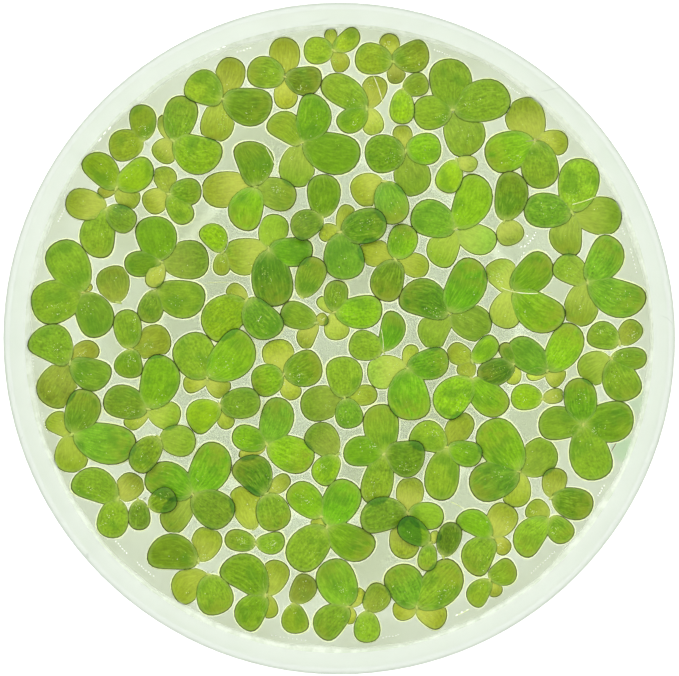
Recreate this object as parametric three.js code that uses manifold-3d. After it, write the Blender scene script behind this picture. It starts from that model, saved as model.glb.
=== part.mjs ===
// A bowl of giant duckweed: a thin, milky, round plastic bowl, the water that it holds, and the
// plants that float on the water. Millimetres, +Z up, the bowl's foot stands on z = 0 and the
// bowl's axis is the Z axis.
//
// Giant duckweed has no stem. Each plant is a small colony of flat oval fronds that meet at one
// point, with a tuft of fine roots hanging from there, so one plant is one solid.
import * as THREE from 'three';
import { mergeVertices } from 'three/addons/utils/BufferGeometryUtils.js';
import Module from 'manifold-3d';

// The bowl
const RIM_RADIUS = 60;          // outside, over the rounded lip
const BOWL_HEIGHT = 44;
const WALL = 1.3;
const WALL_LEAN = 0.18;         // how far the wall leans out for each millimetre up
const CORNER_RADIUS = 20;       // inside, where the floor turns up into the wall
const FOOT_RADIUS = 36;
const FOOT_WIDTH = 2.6;
const FOOT_HEIGHT = 2;
const BOWL_SIDES = 40;
const CORNER_STEPS = 3;

// The water
const WATER_LEVEL = 34.6;
const GAP = 0.3;                // between pieces that touch on the real thing
const WATER_SIDES = 40;

// The plants
const FROND_SIDES = 8;
const SMALL_FROND_SIDES = 6;
const SMALL_FROND = 4.5;        // up to this width
const FROND_THICKNESS = 0.6;    // at its middle, thinning to the edge
const FROND_TAPER = 0.14;       // how much narrower a frond is towards the meeting point
const KNOT_RADIUS = 0.85;       // the little knot where the fronds meet
const KNOT_SIDES = 4;
const ROOT_LENGTH = 16;
const POCKET_GAP = 0.35;        // around a root tuft, in the water

// Fronds of neighbouring plants lie over and under each other. Each frond tilts up by the
// smallest of these steps that keeps it clear of the others, and a plant that lies on a
// neighbour's middle rides up as a whole.
const CLEARANCE = 0.12;
const LIFT_STEP = 0.15;
const LIFT_COUNT = 16;
const RISE_STEP = 0.2;
const RISE_COUNT = 10;
const TEST_STEPS = 13;

// The plants in plan, from the middle of the bowl: the meeting point, then each frond as the
// place of its tip, its width, how far its belly bends to the left, and its tone: y is a young
// olive frond and p a pale one, which lie lowest, g is a grown green one, b bright and d dark.
const PLANTS = [
  [-30.2, 36.0, [[-27.8, 44.1, 6.2, 0, 'g'], [-21.4, 32.9, 7.2, -1.1, 'b'], [-33.3, 32.6, 4.8, 0.2, 'y'],
    [-32.3, 40.8, 3.3, 0, 'y']]],
  [-40.5, 27.4, [[-46.1, 33.1, 5.6, -0.5, 'd'], [-34.2, 32.2, 5.4, -0.5, 'b'], [-36.7, 24.2, 4.4, 0, 'y'],
    [-44.0, 26.3, 2.4, 0, 'y']]],
  [-31.0, 26.3, [[-33.0, 31.2, 4.2, -0.5, 'y'], [-25.0, 27.0, 5.0, 0, 'd'], [-35.6, 24.0, 4.7, 0, 'y'],
    [-27.3, 21.0, 4.4, 0, 'g']]],
  [-21.2, 43.6, [[-28.0, 46.2, 6.4, -0.8, 'g'], [-18.9, 51.2, 5.4, 0, 'y'], [-12.2, 42.0, 7.1, -0.6, 'd'],
    [-22.9, 35.8, 6.2, 0, 'y']]],
  [-9.9, 47.6, [[-16.7, 48.7, 6.0, -0.25, 'g'], [-10.0, 54.9, 5.6, 0, 'y'], [-3.1, 47.2, 5.4, -0.6, 'd'],
    [-9.6, 41.7, 4.4, 0, 'y']]],
  [-1.0, 52.4, [[-6.5, 52.4, 5.0, 0, 'g'], [-1.8, 56.5, 2.5, 0, 'y'], [3.4, 56.2, 3.7, -0.3, 'g'],
    [0.7, 48.5, 3.5, 0.3, 'y']]],
  [-6.8, 35.6, [[-12.9, 39.8, 5.4, -0.9, 'g'], [-4.3, 44.5, 6.4, -0.9, 'b'], [-8.3, 27.5, 6.5, 0, 'y'],
    [3.9, 33.4, 7.6, -0.8, 'b']]],
  [-15.2, 27.6, [[-17.4, 35.8, 6.8, -1.2, 'd'], [-25.1, 26.8, 6.6, 0, 'y'], [-17.4, 19.6, 6.3, -0.7, 'b'],
    [-7.9, 25.2, 6.0, 0, 'y']]],
  [9.7, 50.4, [[2.9, 51.3, 5.9, 0, 'g'], [8.8, 55.5, 3.9, 0, 'y'], [16.2, 52.9, 5.7, -0.6, 'g'],
    [10.4, 46.3, 3.4, 0.3, 'y']]],
  [5.0, 41.9, [[-3.0, 47.0, 5.8, -0.4, 'g'], [7.3, 47.8, 4.6, 0, 'y'], [-0.2, 38.4, 4.6, 0.3, 'b'],
    [6.9, 37.1, 4.1, 0, 'p']]],
  [20.6, 41.6, [[19.2, 50.9, 7.7, -0.5, 'g'], [31.1, 44.3, 7.6, 0.2, 'g'], [24.0, 33.4, 7.6, 0.45, 'y'],
    [13.5, 40.8, 6.4, 0, 'g']]],
  [12.1, 34.1, [[11.2, 39.0, 3.6, 0, 'y'], [4.7, 32.8, 7.0, -0.3, 'd'], [18.6, 34.9, 5.8, 0, 'b'],
    [14.2, 26.0, 6.8, 0, 'y']]],
  [35.6, 36.0, [[33.0, 43.8, 7.2, 0.35, 'y'], [41.8, 35.4, 4.6, 0, 'y'], [26.6, 32.4, 7.2, 0, 'b'],
    [37.2, 27.4, 7.0, 0, 'g']]],
  [42.4, 22.9, [[44.2, 32.9, 7.4, -0.2, 'g'], [51.6, 21.9, 6.9, 0, 'y'], [33.6, 23.2, 6.5, -0.3, 'g'],
    [41.6, 15.0, 6.1, -0.8, 'y']]],
  [-42.4, 23.6, [[-49.6, 25.1, 5.8, 0, 'y'], [-43.8, 14.7, 6.6, -0.9, 'g'], [-37.1, 20.3, 4.9, 0, 'g']]],
  [-32.4, 14.0, [[-34.6, 22.2, 7.3, -0.4, 'b'], [-39.1, 13.3, 4.8, 0, 'd'], [-23.6, 14.6, 7.1, 0, 'y'],
    [-34.2, 9.2, 3.4, 0, 'p']]],
  [-46.6, 8.4, [[-51.8, 17.4, 7.6, -0.4, 'g'], [-56.0, 5.3, 7.8, 0, 'g'], [-43.6, 0.3, 6.9, 0.6, 'g'],
    [-45.3, 10.2, 2.0, 0, 'y']]],
  [-33.5, 8.8, [[-24.3, 7.0, 6.9, -0.75, 'g'], [-34.9, 2.8, 4.7, 0, 'g']]],
  [-37.9, -1.9, [[-39.0, 5.3, 5.2, 0, 'g'], [-30.7, 0.4, 6.1, 0, 'y'], [-37.6, -7.2, 5.3, -0.7, 'd']]],
  [-12.8, 16.2, [[-20.9, 14.8, 6.9, 0.6, 'y'], [-4.8, 16.0, 5.5, -0.35, 'b'], [-11.3, 5.9, 7.6, -0.3, 'd'],
    [-11.3, 22.6, 5.5, 0, 'y']]],
  [0.2, 19.4, [[-3.8, 19.2, 3.4, 0, 'y'], [1.4, 10.6, 7.3, 0, 'g'], [8.6, 21.3, 6.4, 0, 'd'],
    [1.9, 24.4, 3.4, 0, 'y']]],
  [8.2, 28.6, [[2.4, 25.8, 6.1, 0, 'y'], [10.6, 20.9, 6.3, 0, 'g']]],
  [10.2, 14.4, [[3.5, 16.6, 5.1, 0, 'y'], [12.3, 20.8, 5.4, -0.25, 'b'], [16.4, 12.6, 4.5, 0, 'y'],
    [8.3, 6.8, 6.2, -0.5, 'd']]],
  [21.2, 20.0, [[13.0, 22.6, 6.8, -0.5, 'g'], [25.5, 29.8, 6.9, -0.9, 'b'], [28.6, 17.0, 5.5, -0.3, 'p'],
    [17.9, 13.0, 5.8, -0.6, 'y']]],
  [20.0, 4.6, [[24.6, 14.5, 7.2, -0.7, 'b'], [11.1, 8.2, 7.1, -0.95, 'd'], [16.4, -2.0, 5.7, -1.1, 'y'],
    [27.6, 1.6, 6.6, 0, 'y']]],
  [31.6, 8.7, [[26.9, 13.4, 5.6, -0.9, 'p'], [37.8, 15.2, 6.5, -0.6, 'b'], [41.0, 3.2, 7.0, -1.2, 'b'],
    [29.3, 1.9, 5.8, 0, 'p']]],
  [45.2, 10.3, [[39.0, 13.8, 5.3, -0.5, 'y'], [50.0, 18.6, 6.4, -0.7, 'g'], [43.2, 2.3, 6.5, 0, 'y'],
    [55.6, 6.4, 7.0, -0.9, 'g']]],
  [49.5, -3.6, [[56.0, -3.6, 4.2, 0, 'g'], [43.8, -6.9, 6.1, 0, 'y'], [53.4, -11.1, 6.6, -0.4, 'g']]],
  [-0.9, 4.8, [[8.0, 5.4, 6.0, -0.35, 'b'], [-0.3, 10.7, 4.4, 0, 'g'], [-0.1, -0.3, 4.7, 0, 'p'],
    [-3.9, 7.4, 2.5, 0, 'p']]],
  [-16.9, 7.0, [[-24.2, 0.6, 7.4, -0.5, 'b'], [-11.0, 0.8, 6.6, -0.6, 'd'], [-20.3, 9.4, 3.5, 0, 'y']]],
  [-24.0, -7.2, [[-28.3, 0.6, 7.8, 0, 'g'], [-16.6, 1.0, 7.6, -0.9, 'b'], [-28.2, -9.2, 3.6, -0.4, 'y'],
    [-20.2, -10.0, 4.2, 0, 'y']]],
  [-34.8, -12.8, [[-31.6, -3.1, 7.2, -0.5, 'b'], [-42.9, -11.0, 6.2, -0.3, 'g'], [-29.0, -14.8, 5.4, 0, 'y'],
    [-38.9, -16.2, 3.4, 0, 'y']]],
  [-49.0, -4.4, [[-56.2, 0.4, 6.9, -1.4, 'g'], [-43.9, -1.4, 4.3, 0.3, 'y'], [-53.2, -12.3, 7.1, 0, 'y'],
    [-41.5, -7.2, 5.9, -0.7, 'g']]],
  [-48.6, -17.4, [[-45.6, -9.2, 6.3, -0.35, 'g'], [-53.3, -14.6, 4.3, -0.6, 'y'], [-49.2, -24.4, 6.2, 0.2, 'y'],
    [-36.9, -19.6, 7.4, -0.5, 'g']]],
  [-40.2, -29.2, [[-48.5, -25.6, 6.2, -0.8, 'g'], [-36.4, -25.0, 5.0, 0, 'y'], [-42.0, -36.2, 5.8, 0, 'g']]],
  [-21.7, -12.2, [[-27.0, -16.4, 5.8, -0.8, 'b'], [-14.3, -11.3, 5.8, 0, 'g'], [-20.0, -16.4, 3.4, 0, 'y']]],
  [-10.1, -6.6, [[-11.8, -0.1, 5.8, 0, 'y'], [-3.3, -4.0, 6.5, -0.4, 'd'], [-15.9, -8.4, 5.9, 0, 'b'],
    [-8.0, -11.1, 3.9, 0, 'y']]],
  [-13.2, -19.2, [[-10.6, -10.8, 6.2, -0.5, 'g'], [-19.4, -17.3, 4.9, 0, 'b'], [-4.7, -22.6, 6.6, 0, 'b'],
    [-18.3, -21.6, 2.8, 0, 'p']]],
  [-13.2, -28.2, [[-18.8, -22.4, 6.5, -1.1, 'd'], [-9.0, -25.1, 3.1, 0, 'y'], [-11.0, -34.8, 6.4, 0, 'g']]],
  [1.0, -10.8, [[-7.1, -12.6, 6.4, 0, 'y'], [0.0, -3.3, 6.7, -0.6, 'g'], [2.4, -16.4, 5.0, 0, 'g'],
    [7.0, -10.0, 3.9, 0, 'y']]],
  [12.4, -5.4, [[5.1, -6.6, 6.3, 0, 'p'], [19.9, -3.5, 5.8, -0.3, 'b'], [13.4, -1.0, 3.0, 0, 'y'],
    [13.6, -14.9, 7.7, -0.5, 'b']]],
  [24.1, -7.2, [[22.4, -4.2, 3.6, 0, 'y'], [18.4, -14.0, 6.7, -0.5, 'b'], [30.3, -13.4, 6.0, -0.5, 'b']]],
  [37.9, -5.9, [[31.1, -0.6, 6.0, 0, 'g'], [43.0, 2.6, 6.3, -0.5, 'b'], [40.5, -8.2, 4.0, 0.3, 'y'],
    [34.0, -6.6, 2.8, 0, 'p']]],
  [44.4, -15.6, [[43.4, -7.2, 6.2, 0, 'd'], [36.2, -16.2, 6.1, -0.65, 'g'], [53.6, -14.2, 7.4, -0.35, 'd'],
    [47.6, -25.6, 7.5, -0.6, 'g'], [42.2, -17.8, 2.6, 0, 'y']]],
  [32.7, -24.2, [[26.8, -15.0, 8.0, 0.2, 'b'], [24.0, -27.6, 7.4, -0.3, 'g'], [38.9, -19.2, 6.8, -0.3, 'y'],
    [31.9, -30.7, 5.4, 0, 'y']]],
  [8.2, -21.0, [[7.2, -11.9, 6.6, 0, 'g'], [0.8, -20.8, 5.7, -0.45, 'b'], [15.6, -21.0, 6.8, -0.9, 'd'],
    [6.0, -30.3, 5.8, 0, 'g']]],
  [30.0, 21.4, [[31.6, 30.3, 6.2, -0.5, 'd'], [32.0, 17.2, 5.2, 0, 'p']]],
  [19.6, -19.8, [[12.7, -17.6, 5.7, -1.0, 'g'], [23.6, -13.6, 4.8, 0, 'y'], [26.1, -21.4, 4.7, -0.3, 'b'],
    [18.2, -29.5, 6.3, -0.1, 'g']]],
  [-26.6, -28.4, [[-35.2, -24.6, 6.8, -0.6, 'b'], [-21.8, -19.0, 7.2, -0.7, 'b'], [-31.6, -35.0, 5.5, -0.3, 'y'],
    [-19.7, -33.2, 7.0, 0, 'g']]],
  [-25.6, -40.4, [[-34.8, -39.0, 6.6, -1.0, 'd'], [-23.0, -34.5, 5.6, 0, 'y']]],
  [-23.8, -42.9, [[-29.9, -47.4, 5.8, -0.7, 'y'], [-21.9, -50.3, 6.6, 0.1, 'g']]],
  [-13.4, -46.7, [[-21.2, -40.9, 6.8, -1.3, 'd'], [-10.5, -40.4, 5.1, 0, 'y'], [-17.6, -52.8, 5.6, -0.6, 'd'],
    [-12.3, -50.9, 3.4, 0, 'y']]],
  [-2.2, -34.2, [[-8.2, -41.9, 7.2, -0.4, 'g'], [6.2, -38.8, 6.5, -0.5, 'b'], [2.4, -25.9, 6.7, 0, 'b'],
    [-5.2, -33.2, 2.6, 0, 'y']]],
  [1.7, -48.8, [[-1.8, -40.3, 7.4, 0.3, 'g'], [-3.6, -54.4, 5.7, -0.75, 'g'], [3.9, -45.3, 3.6, 0, 'y'],
    [1.9, -52.0, 2.9, 0, 'y']]],
  [12.5, -31.8, [[3.9, -33.4, 6.4, -0.8, 'g'], [13.2, -25.2, 5.2, 0, 'y'], [19.0, -32.6, 5.1, 0, 'g'],
    [11.6, -40.1, 5.8, 0, 'y']]],
  [27.9, -36.2, [[21.4, -32.4, 4.6, -0.8, 'b'], [24.2, -42.9, 6.0, -0.9, 'g'], [30.9, -30.1, 5.6, 0, 'y'],
    [30.9, -38.9, 3.3, 0, 'y']]],
  [14.1, -48.9, [[9.6, -41.6, 6.9, -0.4, 'g'], [21.6, -41.0, 7.2, -0.4, 'g'], [19.2, -51.9, 5.0, 0.5, 'y'],
    [9.7, -49.7, 4.0, 0, 'y']]],
  [38.1, -32.7, [[42.2, -36.5, 4.7, -0.2, 'g'], [34.3, -30.2, 4.3, 0, 'y'], [33.0, -39.4, 5.7, -0.9, 'g']]],
];

// Colours, as the eye takes them from a step away
const PLASTIC = { color: 0xe6ece2, roughness: 0.35, metalness: 0, transparent: true, opacity: 0.8 };
const WATER = { color: 0xdbe3cc, roughness: 0.05, metalness: 0, transparent: true, opacity: 0.35 };
const FROND_COLOURS = { g: 0x7fae2f, b: 0x72b51f, d: 0x55872a, y: 0xa7b344, p: 0xbdd068 };
const FROND_ROUGHNESS = 0.4;

const wasm = await Module();
wasm.setup();

// A closed three.js geometry as a solid, with its shared vertices merged.
function toSolid(geometry) {
  const bare = geometry.clone();
  bare.deleteAttribute('normal');
  bare.deleteAttribute('uv');
  const merged = mergeVertices(bare, 1e-4);
  const mesh = new wasm.Mesh({
    numProp: 3,
    vertProperties: new Float32Array(merged.attributes.position.array),
    triVerts: new Uint32Array(merged.index.array),
  });
  mesh.merge();
  return new wasm.Manifold(mesh);
}

// A solid back as a three.js geometry.
function toGeometry(solid) {
  const mesh = solid.getMesh();
  const geometry = new THREE.BufferGeometry();
  geometry.setAttribute('position', new THREE.BufferAttribute(new Float32Array(mesh.vertProperties), 3));
  geometry.setIndex(new THREE.BufferAttribute(new Uint32Array(mesh.triVerts), 1));
  geometry.computeVertexNormals();
  return geometry;
}

// A profile of [radius, height] points, turned about the Z axis. The points run from the axis
// at the bottom, round the outside, and back to the axis at the top.
function turned(profile, sides) {
  const points = profile.map(([radius, height]) => new THREE.Vector2(radius, height));
  const geometry = new THREE.LatheGeometry(points, sides);
  geometry.rotateX(Math.PI / 2);
  return geometry;
}

// The bowl's inner or outer surface from its floor up to a height: the flat floor, the round
// corner and the leaning wall. How far out it lies from the inner surface is the offset.
const FLOOR = FOOT_HEIGHT + WALL;
const LIP_RADIUS = WALL / 2;
const LIP_HEIGHT = BOWL_HEIGHT - LIP_RADIUS;
const LEAN_ANGLE = Math.atan(WALL_LEAN);

function wallRadius(height, offset) {
  return RIM_RADIUS - (LIP_HEIGHT - height) * WALL_LEAN - (WALL - offset) / Math.cos(LEAN_ANGLE);
}

function cupCurve(offset, top) {
  const floor = FLOOR - offset;
  const radius = CORNER_RADIUS + offset;
  const turn = Math.PI / 2 - LEAN_ANGLE;
  const centre = wallRadius(floor, offset) - radius * Math.tan(turn / 2);
  const points = [];
  for (let step = 0; step <= CORNER_STEPS; step += 1) {
    const angle = (turn * step) / CORNER_STEPS;
    points.push([centre + radius * Math.sin(angle), floor + radius * (1 - Math.cos(angle))]);
  }
  points.push([wallRadius(top, offset), top]);
  return points;
}

function bowlGeometry() {
  const outside = cupCurve(WALL, LIP_HEIGHT);
  const inside = cupCurve(0, LIP_HEIGHT).reverse();
  const lipTop = (outside.at(-1)[0] + inside[0][0]) / 2;
  const slant = LIP_RADIUS * Math.SQRT1_2;
  const profile = [
    [0, FOOT_HEIGHT],
    [FOOT_RADIUS - FOOT_WIDTH, FOOT_HEIGHT],
    [FOOT_RADIUS - FOOT_WIDTH, 0],
    [FOOT_RADIUS, 0],
    [FOOT_RADIUS, FOOT_HEIGHT],
    ...outside.filter(([radius]) => radius > FOOT_RADIUS + GAP),
    [lipTop + slant, LIP_HEIGHT + slant],
    [lipTop, BOWL_HEIGHT],
    [lipTop - slant, LIP_HEIGHT + slant],
    ...inside,
    [0, FLOOR],
  ];
  return turned(profile, BOWL_SIDES);
}

// The water fills the cup to its level, with a pocket for each root tuft.
function waterSolid(plants) {
  const profile = [[0, FLOOR + GAP], ...cupCurve(-GAP, WATER_LEVEL), [0, WATER_LEVEL]];
  let water = toSolid(turned(profile, WATER_SIDES));
  for (const plant of plants) {
    const pocket = turned([
      [0, WATER_LEVEL - ROOT_LENGTH - GAP],
      [KNOT_RADIUS + POCKET_GAP, WATER_LEVEL + GAP],
      [0, WATER_LEVEL + GAP],
    ], KNOT_SIDES);
    pocket.translate(plant.x, plant.y, 0);
    water = water.subtract(toSolid(pocket));
  }
  return water;
}

// One frond in plan: its axis runs from the plant's meeting point to its tip.
function readFrond(plant, [tipX, tipY, width, belly, tone]) {
  const { x, y } = plant;
  const length = Math.hypot(tipX - x, tipY - y);
  return { plant, x, y, ax: (tipX - x) / length, ay: (tipY - y) / length, length, width, belly, tone };
}

// Half the frond's width at a share of its length from the meeting point.
function halfWidth(frond, share) {
  const c = 2 * share - 1;
  return (frond.width / 2) * Math.sqrt(Math.max(0, 1 - c * c)) * (1 + FROND_TAPER * c);
}

function bend(frond, share) {
  return frond.belly * Math.sin(Math.PI * share);
}

// Where a place on the frond is in the bowl: the share along it, and the share across it from
// edge to edge as -1 to 1.
function place(frond, share, across) {
  const along = frond.length * share;
  const side = bend(frond, share) + halfWidth(frond, share) * across;
  return [frond.x + frond.ax * along - frond.ay * side, frond.y + frond.ay * along + frond.ax * side];
}

// How high a point in plan lies on the frond, and half the frond's thickness there, or null off
// the frond.
function layer(frond, x, y, lift) {
  const dx = x - frond.x;
  const dy = y - frond.y;
  const share = (dx * frond.ax + dy * frond.ay) / frond.length;
  if (share <= 0 || share >= 1) return null;
  const side = dy * frond.ax - dx * frond.ay - bend(frond, share);
  const half = halfWidth(frond, share);
  if (Math.abs(side) >= half) return null;
  const out = Math.max(Math.abs(2 * share - 1), Math.abs(side) / half);
  return { height: frond.plant.rise + lift * share, thick: (FROND_THICKNESS / 2) * (1 - out * out) };
}

// Whether a frond with this lift stays clear, everywhere above or everywhere below, of another.
function clears(frond, lift, other) {
  const reach = (frond.length + other.length + frond.width + other.width) / 2;
  const dx = frond.x + (frond.ax * frond.length) / 2 - other.x - (other.ax * other.length) / 2;
  const dy = frond.y + (frond.ay * frond.length) / 2 - other.y - (other.ay * other.length) / 2;
  if (Math.hypot(dx, dy) > reach) return true;
  let side = 0;
  for (let i = 1; i <= TEST_STEPS; i += 1) {
    for (let j = -TEST_STEPS; j <= TEST_STEPS; j += 1) {
      const [x, y] = place(frond, i / (TEST_STEPS + 0.5), j / TEST_STEPS / 1.001);
      const mine = layer(frond, x, y, lift);
      const its = layer(other, x, y, other.lift);
      if (mine && its) {
        const rise = mine.height - its.height;
        if (Math.abs(rise) < mine.thick + its.thick + CLEARANCE) return false;
        if (side !== 0 && Math.sign(rise) !== side) return false;
        side = Math.sign(rise);
      }
    }
  }
  return true;
}

// Whether a frond with this lift passes over another plant's knot and roots, if it reaches them.
function clearsKnot(frond, lift, plant) {
  for (let turn = 0; turn < 2 * Math.PI; turn += Math.PI / 4) {
    for (const radius of [0, KNOT_RADIUS + CLEARANCE]) {
      const x = plant.x + radius * Math.cos(turn);
      const y = plant.y + radius * Math.sin(turn);
      const mine = layer(frond, x, y, lift);
      const top = plant.rise + FROND_THICKNESS / 2 + CLEARANCE;
      if (mine && mine.height - mine.thick < top) return false;
    }
  }
  return true;
}

// Every frond tilted just enough to lie over or under its neighbours. Young and pale fronds
// settle first, so they lie lowest.
function tiltFronds(plants) {
  const settled = [];
  for (const tones of ['yp', 'g', 'bd']) {
    for (const frond of plants.flatMap((plant) => plant.fronds.filter(({ tone }) => tones.includes(tone)))) {
      const others = settled.filter((other) => other.plant !== frond.plant);
      const knots = plants.filter((plant) => plant !== frond.plant);
      for (let step = 0; step < LIFT_COUNT; step += 1) {
        frond.lift = step * LIFT_STEP;
        frond.clear = knots.every((plant) => clearsKnot(frond, frond.lift, plant))
          && others.every((other) => clears(frond, frond.lift, other));
        if (frond.clear) break;
      }
      settled.push(frond);
    }
  }
}

// The plants as they come to rest among each other.
function settle(rows) {
  const plants = rows.map(([x, y, fronds]) => {
    const plant = { x, y, rise: 0 };
    plant.fronds = fronds.map((frond) => readFrond(plant, frond));
    return plant;
  });
  for (let round = 0; round < RISE_COUNT; round += 1) {
    tiltFronds(plants);
    const stuck = plants.filter((plant) => plant.fronds.some((frond) => !frond.clear));
    if (stuck.length === 0) break;
    for (const plant of stuck) plant.rise += RISE_STEP;
  }
  return plants;
}

// A frond is a flat lens: a ball of one band of faces, drawn out to the frond's outline.
function frondGeometry(frond) {
  const sides = frond.width > SMALL_FROND ? FROND_SIDES : SMALL_FROND_SIDES;
  const geometry = new THREE.SphereGeometry(1, sides, 2);
  geometry.rotateX(Math.PI / 2);
  const position = geometry.attributes.position;
  for (let i = 0; i < position.count; i += 1) {
    const share = (1 + position.getX(i)) / 2;
    const c = 2 * share - 1;
    const rim = Math.sqrt(Math.max(0, 1 - c * c));
    const across = rim > 1e-6 ? position.getY(i) / rim : 0;
    const [x, y] = place(frond, share, across);
    position.setXYZ(i, x, y, frond.lift * share + (position.getZ(i) * FROND_THICKNESS) / 2);
  }
  return geometry;
}

// The knot where the fronds meet, drawn out downwards into the root tuft.
function knotGeometry(plant) {
  const knot = turned([
    [0, -ROOT_LENGTH],
    [KNOT_RADIUS, 0],
    [0, FROND_THICKNESS / 2],
  ], KNOT_SIDES);
  knot.translate(plant.x, plant.y, 0);
  return knot;
}

function plantSolid(plant) {
  let solid = toSolid(knotGeometry(plant));
  for (const frond of plant.fronds) solid = solid.add(toSolid(frondGeometry(frond)));
  return solid.translate([0, 0, WATER_LEVEL + GAP + FROND_THICKNESS / 2 + plant.rise]);
}

function piece(name, geometry, material) {
  const mesh = new THREE.Mesh(geometry, new THREE.MeshStandardMaterial(material));
  mesh.name = name;
  return mesh;
}

const plants = settle(PLANTS);
const bowlOfDuckweed = new THREE.Group();
bowlOfDuckweed.add(piece('bowl', bowlGeometry(), PLASTIC));
bowlOfDuckweed.add(piece('water', toGeometry(waterSolid(plants)), WATER));
plants.forEach((plant, index) => {
  const name = `duckweed_${String(index + 1).padStart(2, '0')}`;
  const material = { color: FROND_COLOURS[plant.fronds[0].tone], roughness: FROND_ROUGHNESS, metalness: 0 };
  bowlOfDuckweed.add(piece(name, toGeometry(plantSolid(plant)), material));
});

export default bowlOfDuckweed;
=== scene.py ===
# %% [markdown]
# # A bowl of giant duckweed
#
# This lesson dresses a small plastic bowl of pond water whose surface is covered with giant
# duckweed. The plant has no stem: flat oval fronds grow from one meeting point and float, with a
# tuft of fine roots hanging below. Everything is built round a fixed frame of plain solids, so a
# finished piece always goes where its solid already is.

import math
import random
from dataclasses import dataclass, field

import bmesh
import bpy
import numpy as np
from mathutils import Matrix, Vector


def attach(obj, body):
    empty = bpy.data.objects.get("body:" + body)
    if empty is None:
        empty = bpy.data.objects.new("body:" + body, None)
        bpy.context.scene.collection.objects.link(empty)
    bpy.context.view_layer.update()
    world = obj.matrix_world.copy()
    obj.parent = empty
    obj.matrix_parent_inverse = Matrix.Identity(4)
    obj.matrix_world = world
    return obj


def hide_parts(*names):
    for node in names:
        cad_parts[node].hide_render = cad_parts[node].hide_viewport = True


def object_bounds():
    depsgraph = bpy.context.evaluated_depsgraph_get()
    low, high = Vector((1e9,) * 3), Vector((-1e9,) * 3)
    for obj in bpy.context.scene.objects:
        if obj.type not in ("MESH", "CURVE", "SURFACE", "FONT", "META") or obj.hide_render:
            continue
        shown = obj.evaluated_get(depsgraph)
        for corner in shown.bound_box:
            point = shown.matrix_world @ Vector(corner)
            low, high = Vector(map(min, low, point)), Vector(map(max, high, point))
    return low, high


MM = 0.001
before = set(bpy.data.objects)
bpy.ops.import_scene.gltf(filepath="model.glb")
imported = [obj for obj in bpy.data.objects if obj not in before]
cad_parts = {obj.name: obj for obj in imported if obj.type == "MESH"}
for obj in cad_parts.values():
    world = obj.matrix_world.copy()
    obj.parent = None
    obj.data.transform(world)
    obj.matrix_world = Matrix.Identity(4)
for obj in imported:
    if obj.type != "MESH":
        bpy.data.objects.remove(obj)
cad_low, cad_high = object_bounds()
print("solids in the frame:", len(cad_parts))

# %% [markdown]
# ## The camera
#
# The photograph looks straight down. The rim is 673 pixels across and the fronds float about 9 mm
# below it, and a frond measured against the rim tells how far away the lens was: a little over
# 430 mm above the rim. A long lens from there frames the bowl edge to edge.

# %% Camera over the bowl
RIM_RADIUS = cad_high.x
BOWL_HEIGHT = cad_high.z
CAMERA_OVER_RIM = 433 * MM
FRAME_WIDTH_AT_RIM = 121.07 * MM
FRAME_PIXELS = (679, 676)
BOWL_CENTRE_PIXEL = (339.2, 338.6)
SENSOR_WIDTH = 36.0

pixel_at_rim = FRAME_WIDTH_AT_RIM / FRAME_PIXELS[0]
camera_data = bpy.data.cameras.new("camera")
camera_data.sensor_width = SENSOR_WIDTH
camera_data.lens = SENSOR_WIDTH * CAMERA_OVER_RIM / FRAME_WIDTH_AT_RIM
camera = bpy.data.objects.new("camera", camera_data)
camera.location = (
    (FRAME_PIXELS[0] / 2 - BOWL_CENTRE_PIXEL[0]) * pixel_at_rim,
    (BOWL_CENTRE_PIXEL[1] - FRAME_PIXELS[1] / 2) * pixel_at_rim,
    BOWL_HEIGHT + CAMERA_OVER_RIM,
)
bpy.context.scene.collection.objects.link(camera)
bpy.context.scene.camera = camera
print("lens", round(camera_data.lens, 1), "mm, height", round(camera.location.z, 3), "m")

# %% [markdown]
# ## Sums with sockets
#
# A pattern is easiest to read as a sum, such as `1 - edge * 0.5`. A node tree hides such a sum in
# a web of boxes. The small class below wraps one output socket, so that a Python expression adds
# the Math nodes by itself. Every other kind of node comes from one method, `node`.


# %% A socket that can be used in sums
def srgb(red, green, blue):
    """An everyday 0 to 255 colour as the linear colour that shaders use."""
    values = [c / 255 for c in (red, green, blue)]
    return tuple(c / 12.92 if c <= 0.04045 else ((c + 0.055) / 1.055) ** 2.4 for c in values)


class Value:
    """One output socket of a material."""

    def __init__(self, sheet, socket):
        self.sheet = sheet
        self.socket = socket

    def math(self, operation, *others):
        return self.sheet.node("Math", {"operation": operation}, dict(enumerate((self, *others))))

    def __add__(self, other):
        return self.math("ADD", other)

    def __sub__(self, other):
        return self.math("SUBTRACT", other)

    def __rsub__(self, other):
        return self.sheet.node("Math", {"operation": "SUBTRACT"}, {0: other, 1: self})

    def __mul__(self, other):
        return self.math("MULTIPLY", other)

    def __truediv__(self, other):
        return self.math("DIVIDE", other)

    def __pow__(self, other):
        return self.math("POWER", other)

    __radd__ = __add__
    __rmul__ = __mul__

    def smooth(self, start, end):
        """0 at start and 1 at end, with a soft step between. start may be the larger."""
        settings = {"interpolation_type": "SMOOTHSTEP"}
        if start < end:
            return self.sheet.node("MapRange", settings, {0: self, 1: start, 2: end})
        return self.sheet.node("MapRange", settings, {0: self, 1: end, 2: start, 3: 1.0, 4: 0.0})

    def parts(self):
        """The three numbers of a vector."""
        split = self.sheet.node("SeparateXYZ", {}, {0: self}).socket.node
        return [Value(self.sheet, socket) for socket in split.outputs]


print("grey 128 is", round(srgb(128, 128, 128)[0], 3), "in linear light")


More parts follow.
